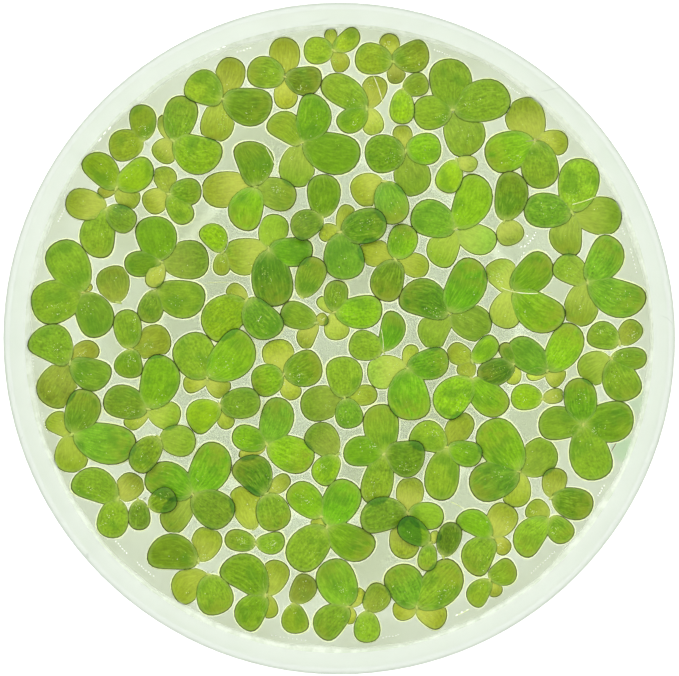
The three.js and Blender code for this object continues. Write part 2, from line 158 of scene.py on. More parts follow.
# %% A sheet of nodes for one material
class Sheet:
    """The nodes of one material, ending in a Principled shader."""

    def __init__(self, name, **constants):
        self.material = bpy.data.materials.new(name)
        self.material.use_nodes = True
        self.tree = self.material.node_tree
        self.shader = self.tree.nodes["Principled BSDF"]
        self.output = self.tree.nodes["Material Output"]
        for socket_name, value in constants.items():
            self.set(socket_name.replace("_", " "), value)

    def node(self, kind, settings, sockets, out=0):
        node = self.tree.nodes.new("ShaderNode" + kind)
        for key, value in settings.items():
            setattr(node, key, value)
        for key, value in sockets.items():
            self.fill(node.inputs[key], value)
        return Value(self, node.outputs[out])

    def fill(self, socket, value):
        if isinstance(value, Value):
            self.tree.links.new(value.socket, socket)
        elif isinstance(value, (tuple, list)) and len(socket.default_value) == 4:
            socket.default_value = (*value[:3], 1.0)
        else:
            socket.default_value = value

    def set(self, socket_name, value):
        self.fill(self.shader.inputs[socket_name], value)

    def set_glowing(self, colour):
        """One colour for the surface and for the little light that it gives out."""
        self.set("Base Color", colour)
        self.set("Emission Color", colour)

    def attribute(self, name, out=1):
        return self.node("Attribute", {"attribute_name": name}, {}, out)

    def place(self):
        return self.node("TexCoord", {}, {}, 3)

    def noise(self, vector, scale, detail):
        return self.node("TexNoise", {}, {"Vector": vector, "Scale": scale, "Detail": detail})

    def mix(self, factor, first, second):
        settings = {"data_type": "RGBA", "clamp_factor": True}
        return self.node("Mix", settings, {0: factor, 6: first, 7: second}, 2)

    def tint(self, colour, by):
        return self.node("VectorMath", {"operation": "MULTIPLY"}, {0: colour, 1: by})

    def scaled(self, vector, by):
        return self.node("VectorMath", {"operation": "SCALE"}, {0: vector, 3: by})

    def joined(self, x, y, z):
        return self.node("CombineXYZ", {}, {0: x, 1: y, 2: z})

    def bump(self, height, strength, distance):
        sockets = {"Height": height, "Strength": strength, "Distance": distance}
        self.set("Normal", self.node("Bump", {}, sockets))


print("sheets of nodes are ready")

# %% [markdown]
# ## The plants in plan
#
# Each row is one plant, read from the photograph: its meeting point and then its fronds,
# each as the place of its tip, its width, how far its belly bends to the left, and its tone. The
# numbers are millimetres from the middle of the bowl. The first rows are the plants that have a
# solid in the frame, in the same order, and the rest are the small ones that have none.

# %% Plants with a solid
GROWN_PLANTS = [
    (-30.2, 36.0, [(-27.8, 44.1, 6.2, 0, "g"), (-21.4, 32.9, 7.2, -1.1, "b"), (-33.3, 32.6, 4.8, 0.2, "y"),
                   (-32.3, 40.8, 3.3, 0, "y")]),
    (-40.5, 27.4, [(-46.1, 33.1, 5.6, -0.5, "d"), (-34.2, 32.2, 5.4, -0.5, "b"), (-36.7, 24.2, 4.4, 0, "y"),
                   (-44.0, 26.3, 2.4, 0, "y")]),
    (-31.0, 26.3, [(-33.0, 31.2, 4.2, -0.5, "y"), (-25.0, 27.0, 5.0, 0, "d"), (-35.6, 24.0, 4.7, 0, "y"),
                   (-27.3, 21.0, 4.4, 0, "g")]),
    (-21.2, 43.6, [(-28.0, 46.2, 6.4, -0.8, "g"), (-18.9, 51.2, 5.4, 0, "y"), (-12.2, 42.0, 7.1, -0.6, "d"),
                   (-22.9, 35.8, 6.2, 0, "y")]),
    (-9.9, 47.6, [(-16.7, 48.7, 6.0, -0.25, "g"), (-10.0, 54.9, 5.6, 0, "y"), (-3.1, 47.2, 5.4, -0.6, "d"),
                  (-9.6, 41.7, 4.4, 0, "y")]),
    (-1.0, 52.4, [(-6.5, 52.4, 5.0, 0, "g"), (-1.8, 56.5, 2.5, 0, "y"), (3.4, 56.2, 3.7, -0.3, "g"),
                  (0.7, 48.5, 3.5, 0.3, "y")]),
    (-6.8, 35.6, [(-12.9, 39.8, 5.4, -0.9, "g"), (-4.3, 44.5, 6.4, -0.9, "b"), (-8.3, 27.5, 6.5, 0, "y"),
                  (3.9, 33.4, 7.6, -0.8, "b")]),
    (-15.2, 27.6, [(-17.4, 35.8, 6.8, -1.2, "d"), (-25.1, 26.8, 6.6, 0, "y"), (-17.4, 19.6, 6.3, -0.7, "b"),
                   (-7.9, 25.2, 6.0, 0, "y")]),
    (9.7, 50.4, [(2.9, 51.3, 5.9, 0, "g"), (8.8, 55.5, 3.9, 0, "y"), (16.2, 52.9, 5.7, -0.6, "g"),
                 (10.4, 46.3, 3.4, 0.3, "y")]),
    (5.0, 41.9, [(-3.0, 47.0, 5.8, -0.4, "g"), (7.3, 47.8, 4.6, 0, "y"), (-0.2, 38.4, 4.6, 0.3, "b"),
                 (6.9, 37.1, 4.1, 0, "p")]),
    (20.6, 41.6, [(19.2, 50.9, 7.7, -0.5, "g"), (31.1, 44.3, 7.6, 0.2, "g"), (24.0, 33.4, 7.6, 0.45, "y"),
                  (13.5, 40.8, 6.4, 0, "g")]),
    (12.1, 34.1, [(11.2, 39.0, 3.6, 0, "y"), (4.7, 32.8, 7.0, -0.3, "d"), (18.6, 34.9, 5.8, 0, "b"),
                  (14.2, 26.0, 6.8, 0, "y")]),
    (35.6, 36.0, [(33.0, 43.8, 7.2, 0.35, "y"), (41.8, 35.4, 4.6, 0, "y"), (26.6, 32.4, 7.2, 0, "b"),
                  (37.2, 27.4, 7.0, 0, "g")]),
    (42.4, 22.9, [(44.2, 32.9, 7.4, -0.2, "g"), (51.6, 21.9, 6.9, 0, "y"), (33.6, 23.2, 6.5, -0.3, "g"),
                  (41.6, 15.0, 6.1, -0.8, "y")]),
    (-42.4, 23.6, [(-49.6, 25.1, 5.8, 0, "y"), (-43.8, 14.7, 6.6, -0.9, "g"), (-37.1, 20.3, 4.9, 0, "g")]),
    (-32.4, 14.0, [(-34.6, 22.2, 7.3, -0.4, "b"), (-39.1, 13.3, 4.8, 0, "d"), (-23.6, 14.6, 7.1, 0, "y"),
                   (-34.2, 9.2, 3.4, 0, "p")]),
    (-46.6, 8.4, [(-51.8, 17.4, 7.6, -0.4, "g"), (-56.0, 5.3, 7.8, 0, "g"), (-43.6, 0.3, 6.9, 0.6, "g"),
                  (-45.3, 10.2, 2.0, 0, "y")]),
    (-33.5, 8.8, [(-24.3, 7.0, 6.9, -0.75, "g"), (-34.9, 2.8, 4.7, 0, "g")]),
    (-37.9, -1.9, [(-39.0, 5.3, 5.2, 0, "g"), (-30.7, 0.4, 6.1, 0, "y"), (-37.6, -7.2, 5.3, -0.7, "d")]),
    (-12.8, 16.2, [(-20.9, 14.8, 6.9, 0.6, "y"), (-4.8, 16.0, 5.5, -0.35, "b"), (-11.3, 5.9, 7.6, -0.3, "d"),
                   (-11.3, 22.6, 5.5, 0, "y")]),
    (0.2, 19.4, [(-3.8, 19.2, 3.4, 0, "y"), (1.4, 10.6, 7.3, 0, "g"), (8.6, 21.3, 6.4, 0, "d"),
                 (1.9, 24.4, 3.4, 0, "y")]),
    (8.2, 28.6, [(2.4, 25.8, 6.1, 0, "y"), (10.6, 20.9, 6.3, 0, "g")]),
    (10.2, 14.4, [(3.5, 16.6, 5.1, 0, "y"), (12.3, 20.8, 5.4, -0.25, "b"), (16.4, 12.6, 4.5, 0, "y"),
                  (8.3, 6.8, 6.2, -0.5, "d")]),
    (21.2, 20.0, [(13.0, 22.6, 6.8, -0.5, "g"), (25.5, 29.8, 6.9, -0.9, "b"), (28.6, 17.0, 5.5, -0.3, "p"),
                  (17.9, 13.0, 5.8, -0.6, "y")]),
    (20.0, 4.6, [(24.6, 14.5, 7.2, -0.7, "b"), (11.1, 8.2, 7.1, -0.95, "d"), (16.4, -2.0, 5.7, -1.1, "y"),
                 (27.6, 1.6, 6.6, 0, "y")]),
    (31.6, 8.7, [(26.9, 13.4, 5.6, -0.9, "p"), (37.8, 15.2, 6.5, -0.6, "b"), (41.0, 3.2, 7.0, -1.2, "b"),
                 (29.3, 1.9, 5.8, 0, "p")]),
    (45.2, 10.3, [(39.0, 13.8, 5.3, -0.5, "y"), (50.0, 18.6, 6.4, -0.7, "g"), (43.2, 2.3, 6.5, 0, "y"),
                  (55.6, 6.4, 7.0, -0.9, "g")]),
    (49.5, -3.6, [(56.0, -3.6, 4.2, 0, "g"), (43.8, -6.9, 6.1, 0, "y"), (53.4, -11.1, 6.6, -0.4, "g")]),
    (-0.9, 4.8, [(8.0, 5.4, 6.0, -0.35, "b"), (-0.3, 10.7, 4.4, 0, "g"), (-0.1, -0.3, 4.7, 0, "p"),
                 (-3.9, 7.4, 2.5, 0, "p")]),
    (-16.9, 7.0, [(-24.2, 0.6, 7.4, -0.5, "b"), (-11.0, 0.8, 6.6, -0.6, "d"), (-20.3, 9.4, 3.5, 0, "y")]),
    (-24.0, -7.2, [(-28.3, 0.6, 7.8, 0, "g"), (-16.6, 1.0, 7.6, -0.9, "b"), (-28.2, -9.2, 3.6, -0.4, "y"),
                   (-20.2, -10.0, 4.2, 0, "y")]),
    (-34.8, -12.8, [(-31.6, -3.1, 7.2, -0.5, "b"), (-42.9, -11.0, 6.2, -0.3, "g"),
                    (-29.0, -14.8, 5.4, 0, "y"), (-38.9, -16.2, 3.4, 0, "y")]),
    (-49.0, -4.4, [(-56.2, 0.4, 6.9, -1.4, "g"), (-43.9, -1.4, 4.3, 0.3, "y"), (-53.2, -12.3, 7.1, 0, "y"),
                   (-41.5, -7.2, 5.9, -0.7, "g")]),
    (-48.6, -17.4, [(-45.6, -9.2, 6.3, -0.35, "g"), (-53.3, -14.6, 4.3, -0.6, "y"),
                    (-49.2, -24.4, 6.2, 0.2, "y"), (-36.9, -19.6, 7.4, -0.5, "g")]),
    (-40.2, -29.2, [(-48.5, -25.6, 6.2, -0.8, "g"), (-36.4, -25.0, 5.0, 0, "y"),
                    (-42.0, -36.2, 5.8, 0, "g")]),
    (-21.7, -12.2, [(-27.0, -16.4, 5.8, -0.8, "b"), (-14.3, -11.3, 5.8, 0, "g"),
                    (-20.0, -16.4, 3.4, 0, "y")]),
    (-10.1, -6.6, [(-11.8, -0.1, 5.8, 0, "y"), (-3.3, -4.0, 6.5, -0.4, "d"), (-15.9, -8.4, 5.9, 0, "b"),
                   (-8.0, -11.1, 3.9, 0, "y")]),
    (-13.2, -19.2, [(-10.6, -10.8, 6.2, -0.5, "g"), (-19.4, -17.3, 4.9, 0, "b"), (-4.7, -22.6, 6.6, 0, "b"),
                    (-18.3, -21.6, 2.8, 0, "p")]),
    (-13.2, -28.2, [(-18.8, -22.4, 6.5, -1.1, "d"), (-9.0, -25.1, 3.1, 0, "y"),
                    (-11.0, -34.8, 6.4, 0, "g")]),
    (1.0, -10.8, [(-7.1, -12.6, 6.4, 0, "y"), (0.0, -3.3, 6.7, -0.6, "g"), (2.4, -16.4, 5.0, 0, "g"),
                  (7.0, -10.0, 3.9, 0, "y")]),
    (12.4, -5.4, [(5.1, -6.6, 6.3, 0, "p"), (19.9, -3.5, 5.8, -0.3, "b"), (13.4, -1.0, 3.0, 0, "y"),
                  (13.6, -14.9, 7.7, -0.5, "b")]),
    (24.1, -7.2, [(22.4, -4.2, 3.6, 0, "y"), (18.4, -14.0, 6.7, -0.5, "b"), (30.3, -13.4, 6.0, -0.5, "b")]),
    (37.9, -5.9, [(31.1, -0.6, 6.0, 0, "g"), (43.0, 2.6, 6.3, -0.5, "b"), (40.5, -8.2, 4.0, 0.3, "y"),
                  (34.0, -6.6, 2.8, 0, "p")]),
    (44.4, -15.6, [(43.4, -7.2, 6.2, 0, "d"), (36.2, -16.2, 6.1, -0.65, "g"), (53.6, -14.2, 7.4, -0.35, "d"),
                   (47.6, -25.6, 7.5, -0.6, "g"), (42.2, -17.8, 2.6, 0, "y")]),
    (32.7, -24.2, [(26.8, -15.0, 8.0, 0.2, "b"), (24.0, -27.6, 7.4, -0.3, "g"),
                   (38.9, -19.2, 6.8, -0.3, "y"), (31.9, -30.7, 5.4, 0, "y")]),
    (8.2, -21.0, [(7.2, -11.9, 6.6, 0, "g"), (0.8, -20.8, 5.7, -0.45, "b"), (15.6, -21.0, 6.8, -0.9, "d"),
                  (6.0, -30.3, 5.8, 0, "g")]),
    (30.0, 21.4, [(31.6, 30.3, 6.2, -0.5, "d"), (32.0, 17.2, 5.2, 0, "p")]),
    (19.6, -19.8, [(12.7, -17.6, 5.7, -1.0, "g"), (23.6, -13.6, 4.8, 0, "y"), (26.1, -21.4, 4.7, -0.3, "b"),
                   (18.2, -29.5, 6.3, -0.1, "g")]),
    (-26.6, -28.4, [(-35.2, -24.6, 6.8, -0.6, "b"), (-21.8, -19.0, 7.2, -0.7, "b"),
                    (-31.6, -35.0, 5.5, -0.3, "y"), (-19.7, -33.2, 7.0, 0, "g")]),
    (-25.6, -40.4, [(-34.8, -39.0, 6.6, -1.0, "d"), (-23.0, -34.5, 5.6, 0, "y")]),
    (-23.8, -42.9, [(-29.9, -47.4, 5.8, -0.7, "y"), (-21.9, -50.3, 6.6, 0.1, "g")]),
    (-13.4, -46.7, [(-21.2, -40.9, 6.8, -1.3, "d"), (-10.5, -40.4, 5.1, 0, "y"),
                    (-17.6, -52.8, 5.6, -0.6, "d"), (-12.3, -50.9, 3.4, 0, "y")]),
    (-2.2, -34.2, [(-8.2, -41.9, 7.2, -0.4, "g"), (6.2, -38.8, 6.5, -0.5, "b"), (2.4, -25.9, 6.7, 0, "b"),
                   (-5.2, -33.2, 2.6, 0, "y")]),
    (1.7, -48.8, [(-1.8, -40.3, 7.4, 0.3, "g"), (-3.6, -54.4, 5.7, -0.75, "g"), (3.9, -45.3, 3.6, 0, "y"),
                  (1.9, -52.0, 2.9, 0, "y")]),
    (12.5, -31.8, [(3.9, -33.4, 6.4, -0.8, "g"), (13.2, -25.2, 5.2, 0, "y"), (19.0, -32.6, 5.1, 0, "g"),
                   (11.6, -40.1, 5.8, 0, "y")]),
    (27.9, -36.2, [(21.4, -32.4, 4.6, -0.8, "b"), (24.2, -42.9, 6.0, -0.9, "g"), (30.9, -30.1, 5.6, 0, "y"),
                   (30.9, -38.9, 3.3, 0, "y")]),
    (14.1, -48.9, [(9.6, -41.6, 6.9, -0.4, "g"), (21.6, -41.0, 7.2, -0.4, "g"), (19.2, -51.9, 5.0, 0.5, "y"),
                   (9.7, -49.7, 4.0, 0, "y")]),
    (38.1, -32.7, [(42.2, -36.5, 4.7, -0.2, "g"), (34.3, -30.2, 4.3, 0, "y"),
                   (33.0, -39.4, 5.7, -0.9, "g")]),
]
print("plants with a solid:", len(GROWN_PLANTS))

# %% Small plants without a solid
SMALL_PLANTS = [
    (-35.6, 36.0, [(-36.0, 42.6, 5.0, -0.1, "g"), (-41.9, 34.5, 5.8, 0, "g")]),
    (11.6, 45.4, [(11.3, 38.9, 4.6, 0, "b"), (16.2, 46.8, 4.4, 0, "g")]),
    (21.3, 32.4, [(19.0, 26.6, 4.9, 0, "b"), (25.1, 31.3, 3.1, 0, "p")]),
    (-21.2, 15.8, [(-24.7, 20.3, 4.5, -0.6, "b"), (-21.5, 11.4, 3.2, 0, "y")]),
    (-3.0, 22.0, [(-8.4, 19.0, 5.4, -0.5, "g"), (-3.1, 29.9, 6.2, -0.3, "b")]),
    (51.0, -0.8, [(45.1, 1.0, 5.1, -0.5, "g"), (54.6, 2.9, 4.3, 0, "y")]),
    (8.0, -2.3, [(1.8, -0.4, 5.5, 0, "g"), (10.0, 5.0, 4.7, -0.65, "b")]),
    (-4.2, 2.9, [(-10.6, 5.3, 5.0, 0, "g"), (-6.6, -1.8, 3.6, -0.5, "y"), (-2.1, 4.0, 2.4, 0, "y")]),
    (-6.9, 7.6, [(-3.8, 14.7, 5.4, 0, "g")]),
    (-32.8, -18.0, [(-37.0, -24.0, 5.4, -0.3, "d"), (-26.0, -19.0, 5.7, 0, "y")]),
    (-36.6, -29.3, [(-36.2, -34.9, 4.1, 0, "g")]),
    (-34.6, -30.6, [(-29.7, -28.4, 4.7, 0, "d")]),
    (-0.4, -21.2, [(-5.8, -16.5, 5.8, -0.6, "y"), (-3.8, -26.5, 4.8, -0.3, "b")]),
    (24.2, -4.2, [(19.8, -1.7, 4.1, 0, "y"), (28.5, 0.2, 4.0, -0.2, "b")]),
    (31.9, -4.6, [(25.3, -7.4, 5.0, 0, "d"), (31.4, -8.4, 3.2, 0, "p"), (29.6, -0.8, 2.8, 0, "g")]),
    (37.0, -11.0, [(31.2, -10.6, 4.8, -0.2, "b"), (41.0, -10.0, 2.8, 0, "y")]),
    (38.6, -29.0, [(39.6, -23.5, 4.6, 0, "y"), (46.2, -30.5, 5.9, -0.2, "d")]),
    (-15.4, -34.6, [(-18.2, -26.9, 6.0, -0.2, "y")]),
    (-15.2, -37.4, [(-20.8, -36.3, 4.1, -0.1, "g"), (-9.9, -36.3, 4.0, -0.5, "g")]),
    (-8.4, -48.2, [(-5.5, -42.9, 4.6, -0.45, "y"), (-7.2, -53.7, 4.8, -0.4, "g")]),
    (16.4, -37.2, [(10.9, -33.1, 4.7, 0, "d"), (15.8, -42.3, 3.6, 0, "g"), (18.2, -35.2, 2.2, 0, "p")]),
    (18.9, -39.6, [(20.9, -33.4, 4.5, 0, "d")]),
    (4.9, -49.5, [(8.2, -44.8, 4.9, -0.3, "y"), (5.2, -55.3, 4.8, 0, "g")]),
    (27.4, -43.9, [(31.7, -40.8, 4.8, -0.5, "g"), (28.9, -46.9, 3.0, 0, "y"),
                   (24.2, -48.6, 4.2, -0.45, "g")]),
    (-40.2, 6.6, [(-41.9, 13.2, 6.1, 0, "y")]),
    (-3.2, -32.4, [(-8.9, -26.9, 5.8, -0.3, "b")]),
]
print("small plants:", len(SMALL_PLANTS))

# %% [markdown]
# ## Fronds that stand out
#
# Five tone letters cannot tell the whole story, for each frond has aged in its own light. Next to
# the photograph, some fronds are deeper or lighter than their tone, and some greener or warmer.
# Ripe ones are young fronds that have almost lost their paleness. A frond is written as its
# plant's row and its place in that row, and "s" means a small plant.

# %% Deeper, lighter, greener and warmer fronds
STAND_OUT = {
    "deepest": "s15.1 s22.1 s15.3 s5.1 s5.2 s11.1 33.3 9.4 5.3 47.2 16.3 s20.1",
    "deeper": "18.2 32.2 17.3 34.1 14.3 49.4 s9.1 33.4 55.1 53.2 26.2 49.1 7.2 25.1 s7.2 16.1 21.3 1.4 "
              "14.4 41.2 s2.2 46.2 s3.2 39.1 7.4 25.2 s6.2 s25.1 s23.1 13.1 s16.2 33.2 36.2 28.1 15.3 "
              "20.3 40.1 25.4 s13.1 45.2 35.2",
    "lighter": "s23.2 55.3 48.1 14.1 56.2 57.2 s21.2 29.1 s4.1 38.3 s2.1 52.3 2.1 44.1 9.2 5.4 53.4 6.2 6.4 "
               "37.1 32.4 23.3 s18.1 29.3 10.4 57.4 4.1 s19.2 45.4 s13.2 3.4 57.3 34.2 17.4 43.2 23.1 13.2 "
               "52.1 41.4 51.1 5.2 s21.3 21.4 31.3 54.1 38.4 s14.2 s10.1 24.2 23.2 48.4 8.3 21.1 s14.1 20.4 "
               "40.4 s21.1 10.1 40.2 51.2 36.1 44.4 2.2 12.3 34.4",
    "lightest": "54.4 36.3 32.3 24.4 s15.2 41.3 37.4 6.1 6.3 s16.1 42.2 54.3 44.5 58.3 43.4 s3.1 22.1",
    "greener": "43.1 14.3 24.1 45.2 27.2 38.1 21.2 22.2 34.4 27.4 54.1 40.3 20.2 25.1 41.4 s15.1 20.3 "
               "21.3 39.1 25.2 44.1 16.3 25.4 12.4 11.3 1.4 8.4 40.1 s13.1 14.4 25.3 49.3 27.1 45.3 20.1 "
               "28.2 27.3 20.4 s10.2 24.4 7.3 14.2 32.3 26.1 24.3 41.1 41.2 49.1 s7.2 49.2 57.1 30.2 53.3",
    "warmer": "s2.2 s1.1 s1.2 9.3 6.3 9.1 6.1 30.1 2.2 s2.1 s3.1 s16.1 36.1 5.3 2.1 50.1 1.2 s13.2 "
              "s10.1 33.2 9.4 17.4 2.4 5.2 4.2 10.2 56.4 s24.2 s8.3 6.4 9.2 54.4 5.4 16.4 s12.1 54.3 "
              "57.4 44.5 4.1 s4.1 57.3 s20.2 38.4 10.3 7.1 s24.3",
    "ripe": "16.3 40.1 s13.1 s25.1 s20.1 s6.2 s10.2 8.4 27.1 3.1 25.4 25.3 45.3 48.2 19.2 s4.2 21.1 s14.1 "
            "11.3 12.4 20.4 40.4 33.3 s23.1",
}
STAND_OUT = {kind: set(text.split()) for kind, text in STAND_OUT.items()}
print("fronds that stand out:", len(set().union(*STAND_OUT.values())))

# %% [markdown]
# ## How a frond lies
#
# Seen from above a frond is an egg shape, a little narrower towards the meeting point, so one
# formula on a round disc draws them all: the disc is stretched to the frond's length and width.
# Fronds of neighbouring plants lie over and under each other. Each one tilts up by the smallest
# step that keeps it clear, with the young pale ones lowest, exactly as the solids do.

# %% The frond formula
FROND_TAPER = 0.14
FROND_THICKNESS = 0.6
CLEARANCE = 0.12
KNOT_RADIUS = 0.85
LIFT_STEP = 0.15
LIFT_COUNT = 16
TEST_STEPS = 13


@dataclass(eq=False)
class Frond:
    """One frond in plan, in millimetres, with its axis from the meeting point to the tip."""

    x: float
    y: float
    ax: float
    ay: float
    length: float
    width: float
    belly: float
    tone: str
    label: str
    lift: float = 0.0
    clear: bool = True
    wobble: tuple = (0.0, 0.0)


@dataclass(eq=False)
class Plant:
    x: float
    y: float
    fronds: list = field(default_factory=list)


def read_plants(rows, mark):
    plants = []
    for number, (x, y, tips) in enumerate(rows, 1):
        plant = Plant(x, y)
        for place, (tip_x, tip_y, width, belly, tone) in enumerate(tips, 1):
            length = math.hypot(tip_x - x, tip_y - y)
            axis = ((tip_x - x) / length, (tip_y - y) / length)
            plant.fronds.append(Frond(x, y, *axis, length, width, belly, tone, f"{mark}{number}.{place}"))
        plants.append(plant)
    return plants


def disc_to_plan(frond, u, v):
    """The place in the bowl of a point on the round disc. u runs along the frond from -1 to 1."""
    share = (u + 1) / 2
    along = frond.length * share
    side = frond.belly * np.sin(np.pi * share) + v * frond.width / 2 * (1 + FROND_TAPER * u)
    return frond.x + frond.ax * along - frond.ay * side, frond.y + frond.ay * along + frond.ax * side


def plan_to_disc(frond, x, y):
    """The point on the frond's round disc of a place in the bowl."""
    share = ((x - frond.x) * frond.ax + (y - frond.y) * frond.ay) / frond.length
    u = np.clip(2 * share - 1, -3, 3)
    side = (y - frond.y) * frond.ax - (x - frond.x) * frond.ay
    side = side - frond.belly * np.sin(np.pi * np.clip(share, 0, 1))
    return u, side / (frond.width / 2 * (1 + FROND_TAPER * u))


def half_thickness(u, v):
    across = np.abs(v) / np.sqrt(np.maximum(1e-9, 1 - u * u))
    out = np.maximum(np.abs(u), across)
    return FROND_THICKNESS / 2 * (1 - out * out)


print("the frond formula is ready")


# %% How the fronds lie over each other
def test_points():
    """Disc points all over a frond."""
    share = np.arange(1, TEST_STEPS + 1) / (TEST_STEPS + 0.5)
    across = np.arange(-TEST_STEPS, TEST_STEPS + 1) / TEST_STEPS / 1.001
    share, across = (grid.ravel() for grid in np.meshgrid(share, across, indexing="ij"))
    u = 2 * share - 1
    return u, across * np.sqrt(1 - u * u)


TEST_POINTS = test_points()


def far_apart(frond, other):
    reach = (frond.length + other.length + frond.width + other.width) / 2
    dx = frond.x + frond.ax * frond.length / 2 - other.x - other.ax * other.length / 2
    dy = frond.y + frond.ay * frond.length / 2 - other.y - other.ay * other.length / 2
    return math.hypot(dx, dy) > reach


def overlap(frond, other):
    """The frond's test points that the other covers, as (u, v) on each of the two."""
    u, v = TEST_POINTS
    if far_apart(frond, other):
        return u[:0], v[:0], u[:0], v[:0]
    other_u, other_v = plan_to_disc(other, *disc_to_plan(frond, u, v))
    covered = other_u**2 + other_v**2 < 1
    return u[covered], v[covered], other_u[covered], other_v[covered]


def clears(lift, other, shared):
    u, v, other_u, other_v = shared
    if not len(u):
        return True
    gap = lift * (u + 1) / 2 - other.lift * (other_u + 1) / 2
    room = half_thickness(u, v) + half_thickness(other_u, other_v) + CLEARANCE
    return bool((np.abs(gap) >= room).all() and (np.sign(gap) == np.sign(gap[0])).all())


def clears_knot(frond, lift, plant):
    turns = np.arange(0, 2 * np.pi, np.pi / 4)
    x = np.append(plant.x + (KNOT_RADIUS + CLEARANCE) * np.cos(turns), plant.x)
    y = np.append(plant.y + (KNOT_RADIUS + CLEARANCE) * np.sin(turns), plant.y)
    u, v = plan_to_disc(frond, x, y)
    inside = u**2 + v**2 < 1
    u, v = u[inside], v[inside]
    bottom = lift * (u + 1) / 2 - half_thickness(u, v)
    return bool((bottom >= FROND_THICKNESS / 2 + CLEARANCE).all())


def settle(plants, settled):
    """Tilts the fronds of these plants clear of each other and of the plants that lie already."""
    everyone = plants + settled
    lying = [(frond, plant) for plant in settled for frond in plant.fronds]
    for tones in ("yp", "g", "bd"):
        for plant in plants:
            for frond in [f for f in plant.fronds if f.tone in tones]:
                others = [(o, overlap(frond, o)) for o, owner in lying if owner is not plant]
                knots = [p for p in everyone if p is not plant]
                for step in range(LIFT_COUNT):
                    frond.lift = step * LIFT_STEP
                    frond.clear = all(clears_knot(frond, frond.lift, p) for p in knots)
                    frond.clear = frond.clear and all(clears(frond.lift, *o) for o in others)
                    if frond.clear:
                        break
                lying.append((frond, plant))
    return plants


grown = settle(read_plants(GROWN_PLANTS, ""), [])
small = settle(read_plants(SMALL_PLANTS, "s"), grown)
for plant in small:
    for frond in plant.fronds:
        frond.lift = frond.lift if frond.clear else 0.0
all_plants = grown + small
all_fronds = [frond for plant in all_plants for frond in plant.fronds]
print("fronds:", len(all_fronds))
print("highest tip:", round(max(frond.lift for frond in all_fronds), 2), "mm up")


# %% Which fronds lie below which
def mean_height(frond, u):
    return float(np.mean(frond.lift * (u + 1) / 2))


def find_neighbours(plants):
    """For each frond, the fronds of other plants below it and its sisters, most covered first."""
    owners = [(frond, plant) for plant in plants for frond in plant.fronds]
    below, sisters = {}, {}
    for frond, plant in owners:
        lower, kin = [], []
        for other, owner in owners:
            if other is frond:
                continue
            u, _, other_u, _ = overlap(frond, other)
            if owner is plant:
                kin.append((len(u), other))
            elif len(u) and mean_height(frond, u) > mean_height(other, other_u):
                lower.append((len(u), other))
        below[frond] = [other for _, other in sorted(lower, key=lambda pair: -pair[0])]
        sisters[frond] = [other for _, other in sorted(kin, key=lambda pair: -pair[0])]
    return below, sisters


below, sisters = find_neighbours(all_plants)
print("fronds that lie over another plant:", sum(1 for lower in below.values() if lower))

# %% [markdown]
# ## Fronds as flattened balls
#
# A real frond is a thin pad, thickest in the middle, with a sharp wet edge. A ball with only three
# bands of faces is enough for that: its rings are pulled to the frond's outline and its poles are
# pressed almost flat. Every corner also remembers where it is on its own frond, on the fronds
# below it and on its sisters. The material reads those numbers to draw veins, edges and shadows.

# %% One frond
WATER_TOP = 35.0
FLOAT_HEIGHT = WATER_TOP + 0.2
YOUNG_SINK = 0.17
OUTLINE_STEPS = 24
POLE_RADIUS = 0.1
DOME = 0.28
YOUNG_DOME = 0.16
EDGE_HALF = 0.03
SHOULDER = 0.93
UNDER_COUNT = 3
SISTER_COUNT = 2
FAR_AWAY = (3.0, 3.0, 1.0)
OTHER_FRONDS = [f"under_{k}" for k in range(UNDER_COUNT)] + [f"sister_{k}" for k in range(SISTER_COUNT)]
LAYERS = ["disc", "tone", "trait"] + OTHER_FRONDS

FULLNESS = 0.03
TWO_WAVES = 0.016
THREE_WAVES = 0.012
WAVE_START = (0, 6.28)
SHADE_RANGE = (0.9, 1.12)
WARMTH_SPREAD = 0.06
TONES = {
    "g": srgb(127, 168, 26),
    "b": srgb(124, 178, 4),
    "d": srgb(108, 151, 6),
    "y": srgb(140, 165, 26),
    "p": srgb(166, 194, 58),
}
# How much red and how much green and blue each kind of frond keeps.
SHIFTS = {
    "deepest": (0.66, 0.68),
    "deeper": (0.8, 0.82),
    "lighter": (1.2, 1.18),
    "lightest": (1.4, 1.36),
    "greener": (0.8, 1.03),
    "warmer": (1.18, 0.99),
}
RIPE_PALENESS = 0.4
rng = random.Random(7)


def add_layers(bm):
    return {name: bm.verts.layers.float_vector.new(name) for name in LAYERS}


def wobbly(frond, u, v):
    """The frond's outline is never quite an egg: fuller at four corners, and a little uneven."""
    angle = math.atan2(v, u)
    first, second = frond.wobble
    factor = 1 + FULLNESS * math.sin(2 * angle) ** 2
    factor += TWO_WAVES * math.sin(2 * angle + first) + THREE_WAVES * math.sin(3 * angle + second)
    return u * factor, v * factor


def is_young(frond):
    return frond.tone in "yp"


def sink_and_dome(frond):
    """How much lower than a grown frond this one floats, and how high its middle bulges."""
    return (YOUNG_SINK, YOUNG_DOME) if is_young(frond) else (0.0, DOME)


def top_height(frond, u, v):
    """Height of a frond's upper face, which is straight from the middle to the shoulder ring."""
    out = math.hypot(u, v)
    sink, dome = sink_and_dome(frond)
    shoulder = dome * (1 - SHOULDER**2) + EDGE_HALF
    if out < SHOULDER:
        rise = dome + EDGE_HALF + (shoulder - dome - EDGE_HALF) * out / SHOULDER
    else:
        rise = shoulder * (1 - out) / (1 - SHOULDER)
    return FLOAT_HEIGHT - sink + frond.lift * (u + 1) / 2 + rise


